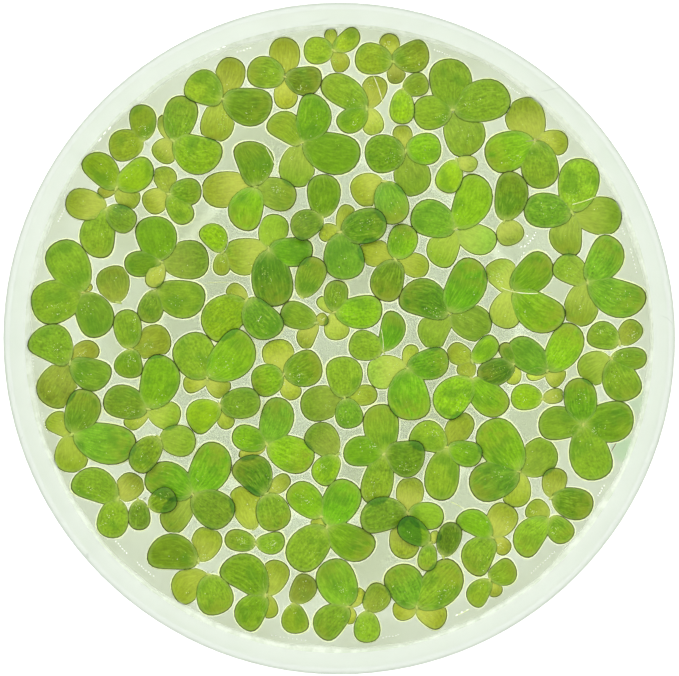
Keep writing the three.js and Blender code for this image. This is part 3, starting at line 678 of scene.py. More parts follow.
def tone_of(frond):
    shade = rng.uniform(*SHADE_RANGE)
    warm = rng.uniform(-WARMTH_SPREAD, WARMTH_SPREAD)
    red, green, blue = TONES[frond.tone]
    for kind, (red_kept, rest_kept) in SHIFTS.items():
        if frond.label in STAND_OUT[kind]:
            red, green, blue = red * red_kept, green * rest_kept, blue * rest_kept
    return red * shade * (1 + warm), green * shade, blue * shade * (1 - warm)


def lay_frond(bm, layers, frond):
    colour = tone_of(frond)
    paleness = RIPE_PALENESS if frond.label in STAND_OUT["ripe"] else float(is_young(frond))
    seed = rng.random()
    sink, dome = sink_and_dome(frond)
    frond.wobble = (rng.uniform(*WAVE_START), rng.uniform(*WAVE_START))
    others = (below[frond] + [None] * UNDER_COUNT)[:UNDER_COUNT]
    others += (sisters[frond] + [None] * SISTER_COUNT)[:SISTER_COUNT]
    ball = bmesh.ops.create_uvsphere(bm, u_segments=OUTLINE_STEPS, v_segments=3, radius=1.0)
    for vert in ball["verts"]:
        up = vert.co.z
        ring = math.hypot(vert.co.x, vert.co.y)
        out = 0.0 if ring < POLE_RADIUS else (SHOULDER if up > 0 else 1.0)
        u, v = (vert.co.x * out / ring, vert.co.y * out / ring) if out else (0.0, 0.0)
        x, y = disc_to_plan(frond, *wobbly(frond, u, v))
        side = 0 if out == 1.0 else math.copysign(1, up)
        z = FLOAT_HEIGHT - sink + frond.lift * (u + 1) / 2
        z += side * (dome * (1 - out * out) + EDGE_HALF)
        vert.co = Vector((x, y, z)) * MM
        vert[layers["disc"]] = (u, v, frond.width)
        vert[layers["tone"]] = colour
        vert[layers["trait"]] = (seed, paleness, (side + 1) / 2 if out < 1 else 1.0)
        for name, other in zip(OTHER_FRONDS, others):
            spot = (*plan_to_disc(other, x, y), other.width) if other else FAR_AWAY
            vert[layers[name]] = spot


print("faces in one frond:", OUTLINE_STEPS * 3)

# %% [markdown]
# ## Roots and the knot they hang from
#
# Giant duckweed carries a whole tuft of roots under the meeting point, where common duckweed has
# one. Each root is a fine thread that wanders as it hangs. A three-sided ring is drawn out step
# by step with extrude, and each new ring is a little smaller than the one before. The solid has
# one spike for the whole tuft, and no root is longer than that. At the meeting point itself a
# scrap of pale membrane lies between the fronds' ends.

# %% One root
ROOTS_PER_PLANT = 9
ROOT_STEPS = 4
ROOT_TOP_RADIUS = 0.11
ROOT_TOP_SINK = 0.25
SPIKE_LENGTH = 16
ROOT_LENGTHS = (10.5, SPIKE_LENGTH - 1.0)
ROOT_SPREADS = (0.2, 1.0)
ROOT_TURN = 0.9
ROOT_TAPER = 0.9
ROOT_TIP_TAPER = 0.3
ROOT_PALE = srgb(222, 228, 188)
TUFT_SHIFT = 0.9
TUFT_RADIUS = 0.45


def tag(verts, layers, colour, u=0.0):
    """Plain numbers for the parts of a plant that are no frond."""
    for vert in verts:
        vert[layers["disc"]] = (u, 0.0, 1.0)
        vert[layers["tone"]] = colour
        vert[layers["trait"]] = (0.5, 0.5, 1.0)
        for name in OTHER_FRONDS:
            vert[layers[name]] = FAR_AWAY


def drawn_out(bm, ring):
    """Extrudes an open ring of corners and returns the new ring."""
    inside = set(ring)
    edges = {edge for vert in ring for edge in vert.link_edges if inside.issuperset(edge.verts)}
    fresh = bmesh.ops.extrude_edge_only(bm, edges=list(edges))["geom"]
    return [item for item in fresh if isinstance(item, bmesh.types.BMVert)]


def grow_root(bm, layers, plant):
    angle = rng.uniform(0, 2 * math.pi)
    start = TUFT_RADIUS * math.sqrt(rng.random())
    spread = rng.uniform(*ROOT_SPREADS)
    length = rng.uniform(*ROOT_LENGTHS)
    x = plant.x + TUFT_SHIFT * sum(frond.ax for frond in plant.fronds) / len(plant.fronds)
    y = plant.y + TUFT_SHIFT * sum(frond.ay for frond in plant.fronds) / len(plant.fronds)
    top = FLOAT_HEIGHT - ROOT_TOP_SINK
    centre = Vector((x + start * math.cos(angle), y + start * math.sin(angle), top))
    ring = bmesh.ops.create_circle(bm, cap_ends=False, segments=3, radius=ROOT_TOP_RADIUS)["verts"]
    bmesh.ops.translate(bm, vec=centre, verts=ring)
    everything = list(ring)
    for step in range(ROOT_STEPS):
        ring = drawn_out(bm, ring)
        angle += rng.uniform(-ROOT_TURN, ROOT_TURN)
        move = Vector((math.cos(angle) * spread, math.sin(angle) * spread, -length)) / ROOT_STEPS
        bmesh.ops.translate(bm, vec=move, verts=ring)
        centre = centre + move
        shrink = ROOT_TAPER if step < ROOT_STEPS - 1 else ROOT_TIP_TAPER
        bmesh.ops.scale(bm, vec=(shrink,) * 3, space=Matrix.Translation(-centre), verts=ring)
        everything += ring
    for vert in everything:
        vert.co *= MM
    tag(everything, layers, ROOT_PALE)


print("roots:", ROOTS_PER_PLANT * len(all_plants))

# %% The membrane at a meeting point
KNOT_SIZES = (0.24, 0.38)
KNOT_STRETCH = (2.1, 0.75)
KNOT_HALF_HEIGHT = 0.08
KNOT_RISE = 0.02
KNOT_REDS, KNOT_GREENS, KNOT_BLUES = (170, 210), (194, 218), (86, 126)
# The pattern sees the membrane as the very start of a frond.
KNOT_U = -0.98
# An oval looks the same after half a turn, so no direction beyond that is drawn.
OVAL_TURN = (0, 3.1)


def add_knot(bm, layers, plant):
    """The meeting point: a small pale membrane among the fronds' ends."""
    turn = Matrix.Rotation(rng.uniform(*OVAL_TURN), 4, "Z")
    size = rng.uniform(*KNOT_SIZES) * MM
    long, wide = (size * share for share in KNOT_STRETCH)
    stretch = Matrix.Diagonal((long, wide, KNOT_HALF_HEIGHT * MM, 1))
    middle = Vector((plant.x, plant.y, FLOAT_HEIGHT + KNOT_RISE)) * MM
    place = Matrix.Translation(middle) @ turn @ stretch
    ball = bmesh.ops.create_uvsphere(bm, u_segments=7, v_segments=4, radius=1.0, matrix=place)["verts"]
    colour = srgb(*(rng.randint(*span) for span in (KNOT_REDS, KNOT_GREENS, KNOT_BLUES)))
    tag(ball, layers, colour, u=KNOT_U)


print("longest membrane:", round(2 * KNOT_SIZES[1] * KNOT_STRETCH[0], 1), "mm")

# %% [markdown]
# ## One object for each plant
#
# The fronds, the knot and the roots of one plant grew together, so they are one mesh. The same
# small function turns any finished bmesh into an object that rides on the frame.


# %% From a bmesh to a piece
def make_piece(name, bm, material, slot, *nodes):
    mesh = bpy.data.meshes.new(name)
    bm.to_mesh(mesh)
    bm.free()
    mesh.shade_smooth()
    mesh.materials.append(material)
    piece = bpy.data.objects.new(name, mesh)
    bpy.context.scene.collection.objects.link(piece)
    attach(piece, "root")
    if nodes:
        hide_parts(*nodes)
    return piece


def build_plant(plant):
    bm = bmesh.new()
    layers = add_layers(bm)
    for frond in plant.fronds:
        lay_frond(bm, layers, frond)
    for _ in range(ROOTS_PER_PLANT):
        grow_root(bm, layers, plant)
    add_knot(bm, layers, plant)
    return bm


plant_meshes = [build_plant(plant) for plant in all_plants]
print("triangles in the first plant:", sum(len(f.verts) - 2 for f in plant_meshes[0].faces))

# %% [markdown]
# ## The look of a living frond
#
# Seen against pale water a frond glows yellow-green. It is palest where it grew from the meeting
# point, a thin brownish line runs just inside its edge, and faint veins fan out along it. Where a
# neighbour lies below, less light comes through, so the upper frond looks darker and the outline
# of the lower one shows; this is painted shade, and so is the deeper look where two sisters
# overlap. A paler band just inside the edge is painted light, where the thin edge lets more
# through. All of it is sums on the numbers that the corners remember.

# %% Frond material
frond_look = Sheet("living_frond", IOR=1.4, Specular_IOR_Level=0.3)
PALE_BASE = srgb(188, 208, 86)
PALE_YOUNG = srgb(206, 216, 92)
PALE_RIM_LIGHT = srgb(166, 188, 100)
EDGE_BROWN = srgb(88, 94, 34)
OLIVE = srgb(146, 158, 34)
DEEP_GREEN = srgb(84, 142, 14)
LIGHT_FLECK = srgb(170, 206, 62)
SEAM_PALE = srgb(200, 214, 110)
# Painted shade: how much a lower frond, a lower frond's edge and an overlapping sister darken a frond.
BELOW_SHADE_TINT = (0.44, 0.68, 0.4)
SISTER_SHADE_TINT = (0.66, 0.82, 0.55)
BELOW_EDGE_SHADE_TINT = (0.62, 0.7, 0.5)
UNDERSIDE = srgb(120, 96, 70)


def from_middle(sheet, name):
    """How far out a corner is on a remembered frond, 1 at its edge, and that frond's width."""
    u, v, width = sheet.attribute(name).parts()
    return (u * u + v * v) ** 0.5, width


def frond_pattern(sheet):
    u, v, width = sheet.attribute("disc").parts()
    seed, young, upper = sheet.attribute("trait").parts()
    out, _ = from_middle(sheet, "disc")
    inward = (1 - out) * width * 0.5
    share = (u + 1) * 0.5
    where = sheet.place()
    cells = sheet.noise(where, 2400, 2.0)
    blotches = sheet.noise(where, 560, 2.0)
    drift = sheet.noise(where, 230, 1.0)
    across = v / (1.03 - u * u) ** 0.5
    other_seed = (seed * 13.7).math("FRACT")
    streaks = sheet.noise(sheet.joined(u * 2.8, across * 10, seed * 40), 1.0, 2.0)
    flecks = sheet.noise(sheet.joined(u * 3.4, across * 10, seed * 70), 1.0, 1.0)
    grain = (cells - 0.5) * (0.5 + other_seed * 0.9) + (streaks - 0.5) * (0.4 + seed * 0.6)
    colour = sheet.scaled(sheet.attribute("tone"), 0.75 + blotches * 0.5 + grain)
    colour = sheet.mix(drift.smooth(0.5, 0.68) * (1 - young) * 0.55, colour, DEEP_GREEN)
    colour = sheet.mix(streaks.smooth(0.5, 0.72) * (0.05 + seed * 0.25), colour, LIGHT_FLECK)
    patchy = blotches.smooth(0.4, 0.62) * other_seed
    colour = sheet.mix(flecks.smooth(0.42, 0.26) * patchy * (1 - young) * 0.35, colour, DEEP_GREEN)
    colour = sheet.mix(flecks.smooth(0.56, 0.72) * (0.06 + patchy * 0.5), colour, LIGHT_FLECK)
    gradient = share.smooth(0.95, 0.3) * young * (0.1 + other_seed * 0.42 + streaks * 0.36)
    colour = sheet.mix(gradient, colour, PALE_YOUNG)
    pale_end = share.smooth(0.26, 0.0) * (0.1 + blotches.smooth(0.35, 0.6) * 0.35)
    colour = sheet.mix(pale_end, colour, PALE_BASE)
    olive = share.smooth(0.3, 1.0) * seed.smooth(0.3, 0.9) * blotches.smooth(0.3, 0.6)
    colour = sheet.mix(olive * 0.7, colour, OLIVE)
    # Painted light: a paler band just inside the edge, where the thin edge lets more light through.
    colour = sheet.mix(inward.smooth(0.75, 0.3) * 0.25, colour, PALE_RIM_LIGHT)
    membrane = inward.smooth(0.4, 0.05) * share.smooth(0.36, 0.12) * cells.smooth(0.42, 0.56)
    colour = sheet.mix(membrane * 0.6, colour, SEAM_PALE)
    line = inward.smooth(0.2, 0.1) * (0.62 + blotches.smooth(0.35, 0.6) * 0.38) * share.smooth(0.06, 0.3)
    return colour, line, out, cells, streaks, upper


def shade_below(sheet, colour, cells, name):
    """Painted shade: darker where a lower frond lies, with a darker line along that frond's edge."""
    out, width = from_middle(sheet, name)
    off_edge = (out - 1) * width * 0.5 + (cells - 0.5) * 0.3
    colour = sheet.mix(off_edge.smooth(0.12, -0.2), colour, sheet.tint(colour, BELOW_SHADE_TINT))
    line = off_edge.math("ABSOLUTE").smooth(0.22, 0.05)
    return sheet.mix(line * 0.5, colour, sheet.tint(colour, BELOW_EDGE_SHADE_TINT))


def sister_join(sheet, colour, out, cells, name):
    """Where two fronds of one plant overlap, painted shade makes them look deeper, with a broken pale line
    between.

    The second value is 0 over the sister, where a frond's drawn edge is faint, and 1 away from it.
    """
    other_out, width = from_middle(sheet, name)
    covered = other_out.smooth(1.0, 0.8) * cells.smooth(0.35, 0.6)
    colour = sheet.mix(covered * 0.85, colour, sheet.tint(colour, SISTER_SHADE_TINT))
    off_seam = (out - other_out).math("ABSOLUTE") * width * 0.5
    seam = other_out.smooth(1.02, 0.9) * off_seam.smooth(0.2, 0.04) * cells.smooth(0.42, 0.58)
    return sheet.mix(seam * 0.25, colour, SEAM_PALE), other_out.smooth(0.9, 1.04)


colour, line, out, cells, streaks, upper = frond_pattern(frond_look)
for k in range(SISTER_COUNT):
    colour, away = sister_join(frond_look, colour, out, cells, f"sister_{k}")
    line = line * (0.25 + away * 0.75)
colour = frond_look.mix(line, colour, EDGE_BROWN)
for k in range(UNDER_COUNT):
    colour = shade_below(frond_look, colour, cells, f"under_{k}")
colour = frond_look.mix(upper.smooth(0.9, 0.1) * 0.6, colour, UNDERSIDE)
frond_look.set("Base Color", colour)
frond_look.set("Roughness", 0.28 + cells * 0.2)
frond_look.bump(cells * 0.6 + streaks * 0.8, 0.6, 0.08 * MM)
print("nodes in the frond material:", len(frond_look.tree.nodes))

# %% Plant pieces
for number, (plant, bm) in enumerate(zip(all_plants, plant_meshes), 1):
    if plant in grown:
        make_piece(f"plant_{number:02d}", bm, frond_look.material, "duckweed", f"duckweed_{number:02d}")
    else:
        make_piece(f"small_plant_{number - len(grown):02d}", bm, frond_look.material, "duckweed")
print("plant pieces:", len(all_plants))

# %% [markdown]
# ## The bowl
#
# The bowl is one turned shape: a flat floor, a round corner, a wall that leans out and a rounded
# lip. Its section is drawn once as a chain of short edges and spun round the axis, which is how a
# turned or moulded vessel is best made. The section follows the solid's numbers, only smoother.

# %% The section of the cup
WALL = 1.3
WALL_LEAN = 0.18
LEAN_ANGLE = math.atan(WALL_LEAN)
CORNER_RADIUS = 20
FOOT_RADIUS = 36
FOOT_WIDTH = 2.6
FOOT_HEIGHT = 2
FLOOR = FOOT_HEIGHT + WALL
LIP_RADIUS = WALL / 2
LIP_HEIGHT = BOWL_HEIGHT / MM - LIP_RADIUS
SPIN_STEPS = 120
CORNER_STEPS = 14


def wall_radius(height, offset):
    return RIM_RADIUS / MM - (LIP_HEIGHT - height) * WALL_LEAN - (WALL - offset) / math.cos(LEAN_ANGLE)


def cup_curve(offset, top):
    """From the floor, round the corner and up the wall, this far outside the inner surface."""
    floor = FLOOR - offset
    radius = CORNER_RADIUS + offset
    turn = math.pi / 2 - LEAN_ANGLE
    centre = wall_radius(floor, offset) - radius * math.tan(turn / 2)
    angles = [turn * step / CORNER_STEPS for step in range(CORNER_STEPS + 1)]
    curve = [(centre + radius * math.sin(a), floor + radius * (1 - math.cos(a))) for a in angles]
    return curve + [(wall_radius(top, offset), top)]


def spin_section(points):
    """A section of (radius, height) points turned about the Z axis."""
    bm = bmesh.new()
    chain = [bm.verts.new(Vector((radius, 0, height)) * MM) for radius, height in points]
    edges = [bm.edges.new(pair) for pair in zip(chain, chain[1:])]
    bmesh.ops.spin(bm, geom=chain + edges, cent=(0, 0, 0), axis=(0, 0, 1), angle=2 * math.pi,
                   steps=SPIN_STEPS, use_merge=True)
    bmesh.ops.remove_doubles(bm, verts=bm.verts, dist=0.001 * MM)
    bmesh.ops.recalc_face_normals(bm, faces=bm.faces)
    return bm


print("inner radius at the water:", round(wall_radius(WATER_TOP, 0), 2), "mm")

# %% Spin the bowl
LIP_STEPS = 8
FOOT_SOFTNESS = 0.5
# The outer wall starts at the first point of its curve that is this far outside the foot.
FOOT_MARGIN = 0.3


def lip_curve():
    outside, inside = wall_radius(LIP_HEIGHT, WALL), wall_radius(LIP_HEIGHT, 0)
    middle, half = (outside + inside) / 2, (outside - inside) / 2
    angles = [math.pi * step / LIP_STEPS for step in range(1, LIP_STEPS)]
    return [(middle + half * math.cos(a), LIP_HEIGHT + LIP_RADIUS * math.sin(a)) for a in angles]


def foot_curve():
    """From the axis under the floor to the foot ring, round it, and up to the wall."""
    inner, soft = FOOT_RADIUS - FOOT_WIDTH, FOOT_SOFTNESS
    return [(0, FOOT_HEIGHT), (inner - soft, FOOT_HEIGHT), (inner, FOOT_HEIGHT - soft), (inner, soft),
            (inner + soft, 0), (FOOT_RADIUS - soft, 0), (FOOT_RADIUS, soft), (FOOT_RADIUS, FOOT_HEIGHT)]


outer_wall = [point for point in cup_curve(WALL, LIP_HEIGHT) if point[0] > FOOT_RADIUS + FOOT_MARGIN]
bowl_section = foot_curve() + outer_wall + lip_curve() + cup_curve(0, LIP_HEIGHT)[::-1] + [(0, FLOOR)]
bowl_mesh = spin_section(bowl_section)
print("points in the bowl's section:", len(bowl_section))

# %% [markdown]
# ## Milky plastic
#
# Milky plastic scatters light inside its thin wall: part comes straight through, blurred, and
# part glows evenly out of the other side. A Principled shader with rough transmission gives the
# first and a Translucent shader the second, mixed almost half and half. Uneven soft stains lie on
# the floor of a bowl that has held plants for weeks.

# %% Plastic material
plastic = Sheet("milky_plastic", Roughness=0.3, IOR=1.46, Transmission_Weight=0.5)
PLASTIC_CLEAN = srgb(248, 252, 247)
PLASTIC_RIM_SHADE = srgb(160, 168, 159)
PLASTIC_STAIN = srgb(202, 208, 162)
PLASTIC_MARK = srgb(120, 130, 118)
GLOW_SHARE = 0.55

# The marks near the rim: middle, direction in degrees, half length, half width, bend, strength.
MARKS = [
    (38.3, 44.6, 5, 2.4, 0.16, 0.09, 0.5),
    (42.7, 41.7, 45, 0.25, 0.16, 0.0, 0.8),
    (58.8, 3.4, 133, 1.5, 0.16, 0.1, 0.4),
    (-3.6, 57.5, 8, 2.4, 0.2, 0.0, 0.3),
    (-44.9, -38.8, 100, 0.7, 0.45, 0.0, 0.6),
    (-56.6, -17.7, 60, 0.4, 0.2, 0.0, 0.35),
]


def faint_mark(x, y, row):
    """A short scratch or smudge, straight or bent, that fades at its ends."""
    middle_x, middle_y, degrees, half_length, half_width, bend, strength = row
    turn = math.radians(degrees)
    along = (x - middle_x) * math.cos(turn) + (y - middle_y) * math.sin(turn)
    aside = (y - middle_y) * math.cos(turn) - (x - middle_x) * math.sin(turn) - along * along * bend
    fade = along.math("ABSOLUTE").smooth(half_length, half_length * 0.4)
    return aside.math("ABSOLUTE").smooth(half_width, 0.0) * fade * strength


def plastic_pattern(sheet):
    where = sheet.place()
    x, y, z = (part * 1000 for part in where.parts())
    radius = (x * x + y * y) ** 0.5
    stains = sheet.noise(where, 70, 3.0).smooth(0.45, 0.7) * radius.smooth(52, 44) * 0.6
    # Painted shade: a darker grey line along the outer edge of the rim.
    lip = radius.smooth(59.3, 59.75) * z.smooth(42.9, 43.3) * 0.8
    colour = sheet.mix(stains, PLASTIC_CLEAN, PLASTIC_STAIN)
    for row in MARKS:
        colour = sheet.mix(faint_mark(x, y, row), colour, PLASTIC_MARK)
    return sheet.mix(lip, colour, PLASTIC_RIM_SHADE)


def add_glow(sheet, colour, share):
    """Mixes the Principled shader with a Translucent one, whose colour is the same all over."""
    glow = sheet.node("BsdfTranslucent", {}, {"Color": colour})
    principled = Value(sheet, sheet.shader.outputs[0])
    both = sheet.node("MixShader", {}, {0: share, 1: principled, 2: glow})
    sheet.tree.links.new(both.socket, sheet.output.inputs["Surface"])


plastic.set("Base Color", plastic_pattern(plastic))
plastic.bump(plastic.noise(plastic.place(), 220, 2.0), 0.15, 0.2 * MM)
add_glow(plastic, PLASTIC_CLEAN, GLOW_SHARE)
make_piece("milky_bowl", bowl_mesh, plastic.material, "plastic", "bowl")
print("bowl ready")

# %% [markdown]
# ## The water
#
# The water fills the bowl and climbs a little where it touches the wall. Its section is spun as
# the bowl's is, and reaches a hair into the plastic. Its surface bends light as water does. Where
# water touches plastic there is next to no bend, because both are dense, so the faces at the wall
# and floor get a second material that only tints. With full bending there, the wall would act as
# a black mirror.

# %% Spin the water
WALL_REACH = 0.1
CLIMB = 0.15
CLIMB_WIDTH = 1.1
WATER_EDGE = wall_radius(WATER_TOP + CLIMB, WALL_REACH)
# A face that looks up at least this much is the water's surface, and any other is at the plastic.
LOOKS_UP = 0.3


def water_surface():
    """From the wall inwards: the climb at the wall, then the level surface."""
    steps = (0, 0.3, 0.8, 1.5, 2.5, 4.0)
    climb = [(WATER_EDGE - step, WATER_TOP + CLIMB * math.exp(-step / CLIMB_WIDTH)) for step in steps]
    return climb + [(0, WATER_TOP)]


def water_height(radius):
    radii, heights = zip(*water_surface()[::-1])
    return float(np.interp(radius, radii, heights))


water_side = cup_curve(WALL_REACH, WATER_TOP + CLIMB)
water_mesh = spin_section([(0, FLOOR - WALL_REACH)] + water_side + water_surface()[1:])
for face in water_mesh.faces:
    face.material_index = 0 if face.normal.z > LOOKS_UP else 1
print("faces of the water's surface:", sum(face.material_index == 0 for face in water_mesh.faces))


# %% Water materials
WATER_IOR = 1.333
WATER_CLEAR = srgb(243, 245, 232)
WATER_TINT = srgb(232, 236, 216)
WATER_DARKER_OLIVE = srgb(222, 225, 198)
PAINTED_REFLECTION_GREEN = srgb(218, 240, 206)
# A painted reflection: where a deep green frond at the edge is mirrored, the water's tint turns green. The
# place, and how strongly.
MIRRORED = [(52.2, -20.2, 1.0), (55.0, -11.4, 0.6)]


def water_sheet(name, bend):
    """Clear water with soft darker olive patches and painted green reflections.
    Light passes two faces, so each gives half the tint.

    It is clearest over the round corner, where it is shallow.
    """
    sheet = Sheet(name, Roughness=0.0, IOR=bend, Transmission_Weight=1.0)
    where = sheet.place()
    x, y, _ = (part * 1000 for part in where.parts())
    darker_patches = sheet.noise(where, 90, 3.0).smooth(0.38, 0.66)
    tint = sheet.mix(((x * x + y * y) ** 0.5).smooth(40, 54), WATER_TINT, WATER_CLEAR)
    tint = sheet.mix(darker_patches * 0.5, tint, WATER_DARKER_OLIVE)
    for spot_x, spot_y, strength in MIRRORED:
        near = ((x - spot_x) ** 2 + (y - spot_y) ** 2).smooth(9.0, 1.5)
        tint = sheet.mix(near * strength, tint, PAINTED_REFLECTION_GREEN)
    sheet.set("Base Color", tint)
    return sheet.material


water_piece = make_piece("pond_water", water_mesh, water_sheet("pond_water", WATER_IOR), "water", "water")
water_piece.data.materials.append(water_sheet("water_at_wall", 1.0))
print("water ready")

# %% [markdown]
# ## The bright line round each frond
#
# Water pulls up against a floating frond in a curved lip less than half a millimetre wide, and
# this lip gathers light, so each frond seems to be drawn with a pale outline. It is a narrow
# collar, from just inside the frond's edge down to the level water, that fades at its outer side.
# Its pale colour and faint glow are painted light for what the lip gathers.

# %% Collars of water
COLLAR_STEPS = 28
# The bands of a collar: how far outside the frond, how far above the water, and how faded.
COLLAR_BANDS = [(-0.15, 0.12, 0.0), (0.14, 0.06, 0.0), (0.31, 0.02, 1.0)]
YOUNG_COLLAR_BANDS = [(-0.1, -0.02, 0.0), (0.08, 0.03, 0.0), (0.24, 0.01, 1.0)]
SAME_SPOT = 1e-9


def drawn_out_with(bm, ring, values):
    """Extrudes a ring whose corners each have a value, and puts the values in its new order."""
    fresh = drawn_out(bm, ring)
    pairs = list(zip(ring, values))
    return fresh, [next(v for vert, v in pairs if (vert.co - new.co).length < SAME_SPOT) for new in fresh]


def collar_spot(frond, angle, offset):
    u, v = math.cos(angle), math.sin(angle)
    size = math.hypot(frond.length / 2 * u, frond.width / 2 * v)
    grow = 1 + offset / size
    return disc_to_plan(frond, *wobbly(frond, u * grow, v * grow))


def lay_collar(bm, fade, frond):
    ring = bmesh.ops.create_circle(bm, cap_ends=False, segments=COLLAR_STEPS, radius=1.0)["verts"]
    angles = [math.atan2(vert.co.y, vert.co.x) for vert in ring]
    bands = YOUNG_COLLAR_BANDS if is_young(frond) else COLLAR_BANDS
    for band, (offset, height, faded) in enumerate(bands):
        if band:
            ring, angles = drawn_out_with(bm, ring, angles)
        for vert, angle in zip(ring, angles):
            vert.co = Vector((*collar_spot(frond, angle, offset), WATER_TOP + height)) * MM
            vert[fade] = faded


collars = bmesh.new()
fade_layer = collars.verts.layers.float.new("fade")
for frond in all_fronds:
    lay_collar(collars, fade_layer, frond)
bmesh.ops.recalc_face_normals(collars, faces=collars.faces)
print("faces in the collars:", len(collars.faces))

# %% Collar material
# Painted light: a pale colour that glows a little stands for the light gathered in the lip.
collar_look = Sheet("painted_light_water_edge", Roughness=0.25, IOR=WATER_IOR, Emission_Strength=0.15)
COLLAR_LIGHT_PALE = srgb(246, 253, 216)
COLLAR_LIGHT_YELLOW = srgb(238, 248, 184)
uneven = collar_look.noise(collar_look.place(), 260, 2.0)
collar_look.set_glowing(collar_look.mix(uneven.smooth(0.35, 0.65), COLLAR_LIGHT_PALE, COLLAR_LIGHT_YELLOW))
faded = collar_look.attribute("fade", 2)
collar_look.set("Alpha", (1 - faded).smooth(0.0, 0.8) * (0.65 + uneven.smooth(0.3, 0.6) * 0.35))
make_piece("water_collars", collars, collar_look.material, "water")
print("collars ready")

# %% [markdown]
# ## The wet edge at the wall
#
# Where the water meets the wall it climbs in the same kind of lip, and from above this is a soft
# pale ring of gathered light, painted as a pale film that glows a little. Its inner side is uneven.
# A circle is drawn outwards in bands that follow the climb, and a sum of three waves makes its
# inner side uneven.

# %% The film at the wall
FILM_STEPS = 240
FILM_INNER = 56.0
# The waves of the inner side: how high, how many in a turn, and where they start.
FILM_WAVES = [(0.22, 5, 1.3), (0.16, 13, 0.4), (0.1, 29, 2.0)]
# The bands: how far from the inner side, and how faded.
FILM_BANDS = [(0.0, 1.0), (0.45, 0.45), (0.9, 0.0), (1.6, 0.0)]
FILM_ABOVE_WATER = 0.06
FILM_IN_WALL = 0.05


def film_inner(angle):
    return FILM_INNER + sum(high * math.sin(count * angle + start) for high, count, start in FILM_WAVES)


film = bmesh.new()
film_fade = film.verts.layers.float.new("fade")
ring = bmesh.ops.create_circle(film, cap_ends=False, segments=FILM_STEPS, radius=MM)["verts"]
for band, (offset, faded) in enumerate(FILM_BANDS):
    ring = drawn_out(film, ring) if band else ring
    for vert in ring:
        angle = math.atan2(vert.co.y, vert.co.x)
        radius = min(film_inner(angle) + offset, WATER_EDGE + FILM_IN_WALL)
        height = water_height(radius) + FILM_ABOVE_WATER
        vert.co = Vector((radius * math.cos(angle), radius * math.sin(angle), height)) * MM
        vert[film_fade] = faded
bmesh.ops.recalc_face_normals(film, faces=film.faces)
print("faces in the film:", len(film.faces))

# %% Film material
# Painted light: the film's pale colour and faint glow stand for light gathered where the water climbs the
# wall.
film_look = Sheet("painted_light_wall_film", Roughness=0.6, IOR=WATER_IOR, Specular_IOR_Level=0.1, Emission_Strength=0.06)
FILM_DULL = srgb(229, 237, 218)
FILM_LIGHT_PALE = srgb(238, 244, 230)
uneven = film_look.noise(film_look.place(), 420, 3.0)
film_look.set_glowing(film_look.mix(uneven.smooth(0.3, 0.7), FILM_DULL, FILM_LIGHT_PALE))
faded = film_look.attribute("fade", 2)
film_look.set("Alpha", (1 - faded).smooth(0.0, 1.0) * (0.8 + uneven.smooth(0.35, 0.65) * 0.2))
make_piece("film_at_wall", film, film_look.material, "water")
print("film ready")

# %% [markdown]
# ## Wet specks and glints
#
# Tiny drops stand on the fronds, mostly on the inner half where the surface dips towards the
# meeting point; they are drawn pale and glow a little, which paints the highlights on them. Near
# the wall, ripples break the light into short rows of dashes, painted as white dashes that glow.
# Each is a small flattened ball. The specks are one object and the dashes another, because a
# thousand separate objects would only slow the scene down.

# %% Specks on the fronds
DOT_FLATNESS = 0.6
SPECK_SIZES = (0.04, 0.1)
SPECK_LENGTHS = (1.0, 1.7)
SPECK_COUNTS = [0, 2, 4, 6, 9, 14, 20, 30]
# A frond's specks are one patch: where its middle may be on the disc, how widely the specks are
# strewn, and how far out they may lie, each along the frond and across it.
PATCH_ALONG, PATCH_ACROSS = (-0.6, 0.3), (-0.5, 0.5)
STREWN_ALONG, STREWN_ACROSS = 0.24, 0.2
MOST_ALONG, MOST_ACROSS = 0.9, 0.6


def add_dot(bm, place, length, width, angle):
    """A flattened ball at a place in millimetres, with its half length and half width."""
    stretch = Matrix.Diagonal((length * MM, width * MM, width * DOT_FLATNESS * MM, 1))
    matrix = Matrix.Translation(Vector(place) * MM) @ Matrix.Rotation(angle, 4, "Z") @ stretch
    bmesh.ops.create_uvsphere(bm, u_segments=5, v_segments=3, radius=1.0, matrix=matrix)


def held(value, most):
    return max(-most, min(most, value))


def speckle(bm, frond):
    along, across = rng.uniform(*PATCH_ALONG), rng.uniform(*PATCH_ACROSS)
    for _ in range(rng.choice(SPECK_COUNTS)):
        u = held(along + rng.gauss(0, STREWN_ALONG), MOST_ALONG)
        v = held(across + rng.gauss(0, STREWN_ACROSS), MOST_ACROSS)
        size = rng.uniform(*SPECK_SIZES)
        if math.hypot(u, v) < MOST_ALONG:
            place = (*disc_to_plan(frond, u, v), top_height(frond, u, v))
            add_dot(bm, place, size * rng.uniform(*SPECK_LENGTHS), size, rng.uniform(*OVAL_TURN))


def gathered(make, items):
    """Small meshes made one at a time, which is quick, and gathered in one bmesh."""
    whole = bmesh.new()
    for item in items:
        bm = bmesh.new()
        make(bm, item)
        part = bpy.data.meshes.new("part")
        bm.to_mesh(part)
        bm.free()
        whole.from_mesh(part)
        bpy.data.meshes.remove(part)
    return whole


specks = gathered(speckle, all_fronds)
print("faces in the specks:", len(specks.faces))

# %% Speck material
# Painted highlights: the drops are pale and glow a little in place of the light they catch.
drop_look = Sheet("tiny_drops_painted_highlights", Roughness=0.4, IOR=WATER_IOR, Specular_IOR_Level=0.1, Emission_Strength=0.1)
DROP_GREEN = srgb(160, 200, 66)
DROP_HIGHLIGHT_PALE = srgb(240, 247, 190)
drop_tone = drop_look.noise(drop_look.place(), 900, 1.0).smooth(0.38, 0.72)
drop_look.set_glowing(drop_look.mix(drop_tone, DROP_GREEN, DROP_HIGHLIGHT_PALE))
make_piece("wet_specks", specks, drop_look.material, "water")
print("specks ready")

